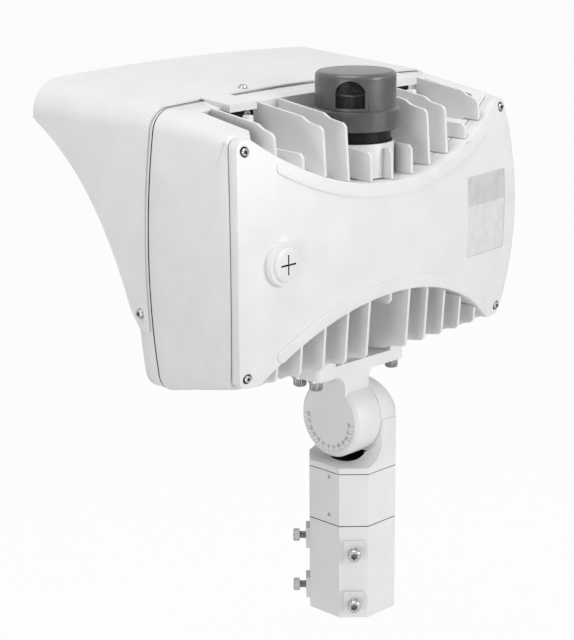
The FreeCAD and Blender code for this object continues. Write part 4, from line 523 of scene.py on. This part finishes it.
# Each node's direction from shank to head, its points to a ring, its kind and the kind's sizes
FASTENERS = {
    "rear_cover_screws": (TOWARDS_REAR, MIDDLING, pan_screw,
                          dict(radius=3.6, height=3.0, shank=2.4, recess=hexagon(3.4))),
    "frame_screws": (TOWARDS_REAR, COARSE, pan_screw,
                     dict(radius=4.2, height=3.2, shank=2.5, recess=crossed(2.4, 0.6))),
    "visor_screws": (outward, MIDDLING, pan_screw,
                     dict(radius=4.2, height=2.6, shank=2.0, recess=hexagon(3.0))),
    "bracket_bolts": (DOWN, FINE, socket_screw, dict(radius=6.5, height=8.0, shank=4.0, flats=6.0)),
    "fitter_joint_bolts": (DOWN, COARSE, socket_screw, dict(radius=5.0, height=5.0, shank=3.0, flats=5.0)),
    "pivot_bolt": (TOWARDS_FAR_SIDE, FINE, hexagon_bolt, dict(flats=18.0, height=7.5, shank=6.0)),
    "closure_plug": (TOWARDS_REAR, FINEST, closure_plug, {}),
    "lens_clip_screws": (TOWARDS_REAR, COARSE, pan_screw,
                         dict(radius=3.0, height=2.0, shank=1.5, recess=crossed(1.7, 0.4))),
    "optic_screws": (TOWARDS_FRONT, COARSE, pan_screw,
                     dict(radius=3.0, height=1.8, shank=1.5, recess=crossed(1.7, 0.4))),
    "driver_screws": (TOWARDS_REAR, COARSE, pan_screw,
                      dict(radius=3.8, height=2.4, shank=2.0, recess=crossed(2.2, 0.5))),
}
SET_SCREW = dict(radius=6.5, height=6.5, shank=4.0, flats=6.0)
for side, sign in (("rear", 1), ("front", -1)):
    for level in ("low", "high"):
        facing = Vector((HALF, sign * HALF, 0))
        FASTENERS[f"set_screw_{side}_{level}"] = (facing, FINE, socket_screw, SET_SCREW)
VISOR_WASHER = ((-3.1, 2.1), (-3.1, 5.3), (-2.75, 5.3), (-2.6, 5.1), (-2.6, 2.1))
SCREW_SHADE_RING = ((-2.95, 3.0), (-2.95, 4.75), (-2.3, 4.75), (-2.1, 4.5), (-2.1, 3.0))


def shade_recess(mesh, segments):
    """Give the second material, black as painted shade, to a recess: the last walls that add_rings makes,
    and its last cap.
    """
    faces = list(mesh.faces)
    for face in faces[-segments - 2:-2] + faces[-1:]:
        face.material_index = 1


def fasteners():
    """Threads, recesses and knurls on the screws and the plug."""
    for node, (axis, segments, shape, sizes) in FASTENERS.items():
        mesh = bmesh.new()
        for points in separate_solids(node):
            place, length = standing(points, axis(points) if callable(axis) else axis)
            add_rings(mesh, shape(length, **sizes), place, segments)
            if node == "visor_screws":
                add_rings(mesh, rounds(VISOR_WASHER), place, segments)
        paints = [MATERIALS[SLOT_OF[node]]]
        # The plug's slot is black: painted shade.
        if node == "closure_plug":
            shade_recess(mesh, segments)
            paints.append(MATERIALS["black_plastic"])
        item = add_piece(f"detailed_{node}", mesh, NODES[node]["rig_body"], SLOT_OF[node], *paints)
        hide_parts(node)


def screw_seals():
    """Black rubber rings round the heads of the rear cover's screws: painted shade in the gaps of their
    counterbores.
    """
    mesh = bmesh.new()
    for points in separate_solids("rear_cover_screws"):
        place, _ = standing(points, TOWARDS_REAR)
        add_rings(mesh, rounds(SCREW_SHADE_RING), place, MIDDLING)
    # Black rings round the screw heads: painted shade.
    add_piece("rear_cover_screw_shade_rings", mesh, "head", "black_rubber")


# Black rubber that shows as dark lines: gaskets pushed into their seams, partly painted shade, and black
# rings and sheets that are painted shade

SEAL_BULGES = {"frame_gasket": 0.75, "rear_cover_gasket": 0.5}
SIDE_SLOPE = 0.5


def pressed_seals():
    """Gaskets that are squeezed out to the joints they close: their own black, and partly painted shade in
    the seams.
    """
    for node, bulge in SEAL_BULGES.items():
        mesh = copied(node)
        middle = sum(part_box(node), Vector()) / 2
        pushes = {}
        for face in mesh.faces:
            outside = face.normal.dot(face.calc_center_median() - middle) > 0
            if outside and abs(face.normal.y) < SIDE_SLOPE:
                for vertex in face.verts:
                    pushes[vertex] = pushes.get(vertex, Vector()) + face.normal
        for vertex, push in pushes.items():
            vertex.co += push.normalized() * bulge * MM
        # The gaskets' black: their own, and partly painted shade in the seams.
        item = add_piece(f"pressed_{node}", mesh, NODES[node]["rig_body"], SLOT_OF[node])
        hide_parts(node)


COLLAR_SEAMS = ((98.05, 98.75), (153.05, 153.75))
SEAM_FLAT = 40.5
SEAM_HALF_SIDE = 20.0
SEAM_SHADE_DEPTH = 0.6


def octagon(shrink):
    """Corners of the collar's outline, drawn in by so much."""
    flat = SEAM_FLAT - shrink
    half = SEAM_HALF_SIDE - shrink * (math.sqrt(2) - 1)
    corners = []
    for turn in range(4):
        across = math.cos(turn * math.pi / 2)
        up = math.sin(turn * math.pi / 2)
        for x, y in ((flat, -half), (flat, half)):
            corners.append((x * across - y * up, x * up + y * across))
    return corners


def collar_seals():
    """A black ring in each joint of the extension collar, filling its groove: painted shade of the seam."""
    mesh = bmesh.new()
    for low, high in COLLAR_SEAMS:
        loops = []
        for shrink, height in ((SEAM_SHADE_DEPTH, low), (0.0, low), (0.0, high), (SEAM_SHADE_DEPTH, high)):
            loops.append([mesh.verts.new(Vector((x, y, height)) * MM) for x, y in octagon(shrink)])
        join_loops(mesh, loops, joined=True)
    # Black rings in the collar's seams: painted shade.
    add_piece("collar_seals", mesh, "fitter", "black_rubber")


PAD_INNER = 91.0
PAD_OUTER = 130.0
PAD_LOW = 498.0
PAD_HIGH = 520.6
PAD_CORNER = 3.0
PAD_FRONT = -36.0
PAD_THICK = 0.8
CORNER_STEPS = 6


def round_corners(left, right, low, high, corner):
    """A rectangle with round corners, as points across and up."""
    points = []
    middles = ((right - corner, high - corner), (left + corner, high - corner),
               (left + corner, low + corner), (right - corner, low + corner))
    for quarter, (x, z) in enumerate(middles):
        for step in range(CORNER_STEPS + 1):
            angle = (quarter + step / CORNER_STEPS) * math.pi / 2
            points.append((x + corner * math.cos(angle), z + corner * math.sin(angle)))
    return points


def screw_pads():
    """Black rubber sheets under the upper frame screws: painted shade in the hollows there."""
    mesh = bmesh.new()
    for side in (1, -1):
        ends = sorted((side * PAD_INNER + HEAD_MIDDLE, side * PAD_OUTER + HEAD_MIDDLE))
        outline = round_corners(*ends, PAD_LOW, PAD_HIGH, PAD_CORNER)
        loops = []
        for depth in (PAD_FRONT, PAD_FRONT + PAD_THICK):
            loops.append([mesh.verts.new(Vector((x, depth, z)) * MM) for x, z in outline])
        join_loops(mesh, loops)
    bmesh.ops.recalc_face_normals(mesh, faces=mesh.faces)
    # Black sheets behind the frame: painted shade.
    add_piece("frame_pocket_shade_pads", mesh, "head", "black_rubber")


# Knuckle arm: a round shoulder above the column with a boss for its bolt, and a black well in its foot that
# is painted shade under the disc

SHOULDER_FOOT = 195.0
SHOULDER_TOP = 243.9
SHOULDER_RADIUS = 45.4
SHOULDER_STEPS = 24
TRIM_TOP = 262.0
TRIM_RADIUS = 75.0
BOSS_RADIUS = 13.0
BOSS_REACH = 150.0
SHADE_WELL_RADIUS = 23.0
SHADE_WELL_FLOOR = 158.9
SHADE_WELL_TOP = 168.0
ARM_EDGE = 0.8
ROUND_POINTS = 72


def shoulder_trim():
    """Rings of all that lies outside the round shoulder."""
    profile = []
    for step in range(SHOULDER_STEPS):
        angle = math.pi / 2 * step / SHOULDER_STEPS
        height = SHOULDER_FOOT + (SHOULDER_TOP - SHOULDER_FOOT) * math.sin(angle)
        profile.append((height, SHOULDER_RADIUS * math.cos(angle)))
    tip = profile[-1][1]
    return rounds(profile + [(TRIM_TOP, tip), (TRIM_TOP, TRIM_RADIUS), (SHOULDER_FOOT, TRIM_RADIUS)])


def helper(name, mesh, material):
    """A short-lived object to cut with."""
    data = bpy.data.meshes.new(name)
    mesh.to_mesh(data)
    mesh.free()
    data.materials.append(material)
    item = bpy.data.objects.new(name, data)
    bpy.context.scene.collection.objects.link(item)
    return item


def round_tool(name, rings, place, material, joined=False):
    """A short-lived solid of rings to cut with."""
    mesh = bmesh.new()
    add_rings(mesh, rings, place, ROUND_POINTS, joined)
    bmesh.ops.recalc_face_normals(mesh, faces=mesh.faces)
    return helper(name, mesh, material)


def cut_with(item, tool):
    """Cut one object with another, which lends its finish to the cut."""
    cut = item.modifiers.new("cut", "BOOLEAN")
    cut.operation = "DIFFERENCE"
    cut.solver = "EXACT"
    cut.material_mode = "TRANSFER"
    cut.object = tool


def shaped_mesh(item):
    """A new mesh of an object as its modifiers or its curve shape it."""
    return bpy.data.meshes.new_from_object(item.evaluated_get(bpy.context.evaluated_depsgraph_get()))


def knuckle_arm():
    """The CAD arm, trimmed to its shoulder and boss, with a black well let into its foot as painted shade.
    """
    paint = MATERIALS["white_paint"]
    along = Matrix.Translation(Vector((0, 0, PIVOT_HEIGHT)) * MM) @ Matrix.Rotation(math.pi / 2, 4, "Y")
    arm = helper("arm", copied("knuckle_arm"), paint)
    trim = round_tool("trim", shoulder_trim(), Matrix(), paint, joined=True)
    boss = round_tool("boss", rounds(((-BOSS_REACH, BOSS_RADIUS), (0.0, BOSS_RADIUS))), along, paint)
    # The black well under the disc: painted shade.
    well = round_tool("well", rounds(((SHADE_WELL_FLOOR, SHADE_WELL_RADIUS), (SHADE_WELL_TOP, SHADE_WELL_RADIUS))), Matrix(),
                      MATERIALS["black_rubber"])
    cut_with(trim, boss)
    cut_with(arm, trim)
    cut_with(arm, well)
    data = shaped_mesh(arm)
    mesh = bmesh.new()
    mesh.from_mesh(data)
    finishes = list(data.materials)
    for item in (arm, trim, boss, well):
        bpy.data.objects.remove(item)
    body = NODES["knuckle_arm"]["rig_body"]
    piece = add_piece("shouldered_knuckle_arm", mesh, body, "white_paint", *finishes)
    soften(piece, ARM_EDGE)
    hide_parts("knuckle_arm")


# Photocell: a cap painted black inside as painted shade, and what shows of the board behind its window

CELL_AXIS = Vector((8.8, 10.9, 0.0)) * MM
CAP_EDGE = 0.5
INNER_TOP = 540.0


def photocell_cap():
    """The CAD cap, its inside painted black as painted shade."""
    mesh = copied("photocell_cap")
    for face in mesh.faces:
        middle = face.calc_center_median()
        away = middle - CELL_AXIS
        away.z = 0.0
        inward = face.normal.dot(away.normalized()) < -SIDE_SLOPE
        ceiling = face.normal.z < -SIDE_SLOPE and middle.z > INNER_TOP * MM
        # Inner walls and ceiling black: painted shade inside the cap.
        face.material_index = 1 if inward or ceiling else 0
    piece = add_piece("moulded_photocell_cap", mesh, "photocell", "grey_plastic", MATERIALS["grey_plastic"],
                      MATERIALS["black_plastic"])
    soften(piece, CAP_EDGE)
    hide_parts("photocell_cap")


BOARD_TOP = 529.9
BOARD_EDGE = 0.3
SOLDER_FIRST = Vector((12.0, 29.0))
SOLDER_TURN = math.radians(-45)
SOLDER_PITCH = 2.6
SOLDER_ROW_PITCH = 3.64
SOLDER_ROWS = 3
SOLDER_COLUMNS = 9
SOLDER_POINTS = 12
SOLDER = ((0.0, 1.0), (0.3, 0.9), (0.9, 0.45), (1.5, 0.3), (1.7, 0.1))


def solder_joints():
    """Rows of solder cones on the board behind the window."""
    mesh = bmesh.new()
    along = Vector((math.cos(SOLDER_TURN), math.sin(SOLDER_TURN)))
    inward = Vector((along.y, -along.x))
    for row in range(SOLDER_ROWS):
        for column in range(SOLDER_COLUMNS):
            spot = SOLDER_FIRST + along * (column * SOLDER_PITCH) + inward * (row * SOLDER_ROW_PITCH)
            place = Matrix.Translation(Vector((*spot, BOARD_TOP)) * MM)
            add_rings(mesh, rounds(SOLDER), place, SOLDER_POINTS)
    add_piece("solder_joints", mesh, "photocell", "stainless")


def board_edge():
    """The pale cut edge of the board, round the corner that faces the window."""
    low, high = (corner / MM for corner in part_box("photocell_circuit_board"))
    outer_x = high.x + BOARD_EDGE
    outer_y = high.y + BOARD_EDGE
    corners = [(outer_x, low.y), (outer_x, outer_y), (low.x, outer_y), (low.x, high.y), (high.x, high.y),
               (high.x, low.y)]
    mesh = bmesh.new()
    loops = []
    for height in (low.z, high.z):
        loops.append([mesh.verts.new(Vector((*corner, height)) * MM) for corner in corners])
    join_loops(mesh, loops)
    add_piece("board_edge", mesh, "photocell", "board_white")


# Label: a blank foil that follows the rear cover's crown

LABEL_TOP = 437.5
LABEL_BAND = 407.0
LABEL_LOW = 356.0
LABEL_INNER = -109.0
LABEL_OUTER = -176.0
LABEL_CELL = 2.0
LABEL_LIFT = 0.12
COVER_MIDDLE = 394.5
COVER_FACE = 67.7
CROWN_WIDE = 1319.0
CROWN_TALL = 523.0


def cover_depth(across, height):
    """The rear cover's face at a place across the head and up it."""
    reach = CROWN_TALL - (CROWN_WIDE - math.sqrt(CROWN_WIDE ** 2 - across ** 2))
    return COVER_FACE - CROWN_TALL + math.sqrt(reach ** 2 - (height - COVER_MIDDLE) ** 2)


def label():
    """A blank label with a silver band over a pale film."""
    mesh = bmesh.new()
    columns = round((LABEL_INNER - LABEL_OUTER) / LABEL_CELL)
    rows = round((LABEL_TOP - LABEL_LOW) / LABEL_CELL)
    grid = []
    for row in range(rows + 1):
        height = LABEL_LOW + (LABEL_TOP - LABEL_LOW) * row / rows
        line = []
        for column in range(columns + 1):
            across = LABEL_INNER + (LABEL_OUTER - LABEL_INNER) * column / columns
            depth = cover_depth(across, height) + LABEL_LIFT
            line.append(mesh.verts.new(Vector((across + HEAD_MIDDLE, depth, height)) * MM))
        grid.append(line)
    for low, high in zip(grid, grid[1:]):
        for column in range(columns):
            face = mesh.faces.new((low[column], low[column + 1], high[column + 1], high[column]))
            face.material_index = 1 if low[column].co.z < LABEL_BAND * MM else 0
    item = add_piece("blank_label", mesh, "head", "stainless", MATERIALS["label_foil"],
                     MATERIALS["label_film"])
    thick = item.modifiers.new("thickness", "SOLIDIFY")
    thick.thickness = 2 * LABEL_LIFT * MM
    thick.offset = 0.0


# Marks cast into the knuckle and the collar, painted grey as painted shade of their relief

DISC_FACE = 34.35
DOWNWARD = -90
TICK_STEP = 7.5
TICK_SPAN = 90
TICK_OUTER = 33.5
TICK_LENGTHS = (3.0, 1.6)
TICK_WIDTH = 0.6
FIGURE_STEP = 15
FIGURE_RADIUS = 27.6
FIGURE_SIZE = 5.2
FIGURE_SMOOTHNESS = 3
MARK_RISE = 0.35
MARK_ROOT = 0.3
MARK_DRAFT = 0.85
COLLAR_FACE = 40.7
ARROW_SPOTS = ((6.3, 146.0), (6.3, 106.0))
ARROW_SIZE = 5.0


def raised(mesh, corners, face):
    """A low boss on a face towards +X, drawn in a little at its top."""
    middle = sum(corners, Vector((0, 0))) / len(corners)
    drawn_in = [middle + (corner - middle) * MARK_DRAFT for corner in corners]
    loops = []
    for outline, height in ((corners, face - MARK_ROOT), (drawn_in, face + MARK_RISE)):
        loops.append([mesh.verts.new(Vector((height, *corner)) * MM) for corner in outline])
    join_loops(mesh, loops)


def tick_marks():
    """A scale of angles about the pivot, on the disc's lower half."""
    mesh = bmesh.new()
    centre = Vector((0, PIVOT_HEIGHT))
    count = round(2 * TICK_SPAN / TICK_STEP)
    for index in range(count + 1):
        angle = math.radians(DOWNWARD - TICK_SPAN + index * TICK_STEP)
        out = Vector((math.cos(angle), math.sin(angle)))
        across = Vector((-out.y, out.x)) * TICK_WIDTH / 2
        far = centre + out * TICK_OUTER
        near = centre + out * (TICK_OUTER - TICK_LENGTHS[index % 2])
        raised(mesh, [near - across, far - across, far + across, near + across], DISC_FACE)
    for degrees in range(-TICK_SPAN, TICK_SPAN + 1, FIGURE_STEP):
        add_figure(mesh, abs(degrees), math.radians(DOWNWARD + degrees))
    # Grey marks: painted shade of their relief.
    add_piece("angle_scale", mesh, "head", "grey_plastic", MATERIALS["mark_shade_grey"])


def add_figure(mesh, number, angle):
    """A number on the scale, with its top towards the pivot. The turn is left-handed, which mirrors it."""
    curve = bpy.data.curves.new("figure", "FONT")
    curve.body = str(number)
    curve.size = FIGURE_SIZE * MM
    curve.extrude = MARK_RISE * MM
    curve.resolution_u = FIGURE_SMOOTHNESS
    curve.align_x = "CENTER"
    curve.align_y = "CENTER"
    item = bpy.data.objects.new("figure", curve)
    bpy.context.scene.collection.objects.link(item)
    data = shaped_mesh(item)
    bpy.data.objects.remove(item)
    bpy.data.curves.remove(curve)
    out = Vector((0, math.cos(angle), math.sin(angle)))
    face = Vector((1, 0, 0))
    turn = Matrix((out.cross(face), -out, face)).transposed().to_4x4()
    centre = Vector((DISC_FACE, 0, PIVOT_HEIGHT)) + out * FIGURE_RADIUS
    data.transform(Matrix.Translation(centre * MM) @ turn)
    mesh.from_mesh(data)
    bpy.data.meshes.remove(data)


def arrow_marks():
    """Two small arrowheads beside the collar's joints."""
    mesh = bmesh.new()
    for y, z in ARROW_SPOTS:
        corners = ((y - ARROW_SIZE / 2, z), (y + ARROW_SIZE / 2, z), (y, z + ARROW_SIZE))
        raised(mesh, [Vector(corner) for corner in corners], COLLAR_FACE)
    # Grey arrows: painted shade of their relief.
    add_piece("collar_arrows", mesh, "fitter", "grey_plastic", MATERIALS["mark_shade_grey"])


# Stage, light and camera

FLOOR_HEIGHT = -0.26
FLOOR_SIZE = 60.0
FLOOR_GREY = 0.75
FLOOR_ROUGHNESS = 0.9
FLOOR_GLOSS = 0.1
FLOOR_WHITE = 0.96
WORLD_STRENGTH = 0.3
LAMPS = {
    "key": dict(place=(-0.8, 2.75, 1.1), size=1.4, power=46.0),
    "top": dict(place=(0.7, 0.0, 2.7), size=1.6, power=38.0),
    "side": dict(place=(2.5, 0.5, 0.1), size=1.2, power=21.0),
}
LAMP_AIM = Vector((0.0, 0.0, 0.35))


def calculated(tree, operation, first, second):
    """Arithmetic on two sockets, or on a socket and a number."""
    node = tree.nodes.new("ShaderNodeMath")
    node.operation = operation
    tree.links.new(first, node.inputs[0])
    if isinstance(second, float):
        node.inputs[1].default_value = second
    else:
        tree.links.new(second, node.inputs[1])
    return node.outputs[0]


def background_rays(tree, kind):
    """1 for rays from the camera and for one other kind of ray, and 0 for the rest."""
    path = tree.nodes.new("ShaderNodeLightPath")
    return calculated(tree, "MAXIMUM", path.outputs["Is Camera Ray"], path.outputs[kind])


def mixed(tree, share, lit, white, output):
    """Show a share of a white surface over a lit one."""
    blend = tree.nodes.new("ShaderNodeMixShader")
    tree.links.new(share, blend.inputs["Fac"])
    tree.links.new(lit.outputs[0], blend.inputs[1])
    tree.links.new(white.outputs[0], blend.inputs[2])
    tree.links.new(blend.outputs[0], tree.nodes[output].inputs["Surface"])


def floor():
    """A pale floor that is white to the camera and keeps a faint shadow."""
    bpy.ops.mesh.primitive_plane_add(size=FLOOR_SIZE, location=(0, 0, FLOOR_HEIGHT))
    plane = bpy.context.object
    plane.name = "floor"
    material, tree, shader = new_material("floor_white")
    settle(shader, Base_Color=(*grey(FLOOR_GREY), 1.0), Roughness=FLOOR_ROUGHNESS,
           Specular_IOR_Level=FLOOR_GLOSS)
    glow = tree.nodes.new("ShaderNodeEmission")
    settle(glow, Strength=1.0)
    share = calculated(tree, "MULTIPLY", background_rays(tree, "Is Transmission Ray"), FLOOR_WHITE)
    mixed(tree, share, shader, glow, "Material Output")
    plane.data.materials.append(material)


def sky():
    """Even studio light from all round, white behind the object."""
    world = bpy.data.worlds.new("studio")
    world.use_nodes = True
    tree = world.node_tree
    ground = tree.nodes["Background"]
    settle(ground, Color=(1.0, 1.0, 1.0, 1.0), Strength=WORLD_STRENGTH)
    white = tree.nodes.new("ShaderNodeBackground")
    settle(white, Strength=1.0)
    mixed(tree, background_rays(tree, "Is Glossy Ray"), ground, white, "World Output")
    bpy.context.scene.world = world


def lamps():
    """Square soft lamps, all turned to the part."""
    for name, lamp in LAMPS.items():
        light = bpy.data.lights.new(name, "AREA")
        light.size = lamp["size"]
        light.energy = lamp["power"]
        item = bpy.data.objects.new(name, light)
        item.location = lamp["place"]
        item.rotation_euler = (LAMP_AIM - item.location).to_track_quat("-Z", "Y").to_euler()
        bpy.context.scene.collection.objects.link(item)


def camera():
    """The photograph's view."""
    turn = math.radians(AZIMUTH)
    rise = math.radians(ELEVATION)
    roll = math.radians(ROLL)
    right = Vector((math.cos(turn), math.sin(turn), 0.0))
    back = Vector((math.sin(turn) * math.cos(rise), -math.cos(turn) * math.cos(rise), math.sin(rise)))
    up = back.cross(right)
    across = right * math.cos(roll) + up * math.sin(roll)
    upward = up * math.cos(roll) - right * math.sin(roll)
    aim = right * TARGET_ACROSS + Vector((0.0, 0.0, TARGET_HEIGHT))
    lens = bpy.data.cameras.new("camera")
    lens.sensor_fit = "VERTICAL"
    lens.sensor_height = SENSOR
    lens.lens = FOCAL_PIXELS / PICTURE_HEIGHT * SENSOR
    lens.clip_end = FAR_CLIP
    eye = bpy.data.objects.new("camera", lens)
    turned = Matrix((across, upward, back)).transposed().to_4x4()
    eye.matrix_world = Matrix.Translation(aim + back * DISTANCE) @ turned
    bpy.context.scene.collection.objects.link(eye)
    bpy.context.scene.camera = eye


dress_nodes()
soften_edges()
fasteners()
screw_seals()
pressed_seals()
collar_seals()
screw_pads()
knuckle_arm()
photocell_cap()
solder_joints()
board_edge()
label()
tick_marks()
arrow_marks()
floor()
sky()
lamps()
camera()
bpy.context.scene.view_settings.view_transform = "Standard"
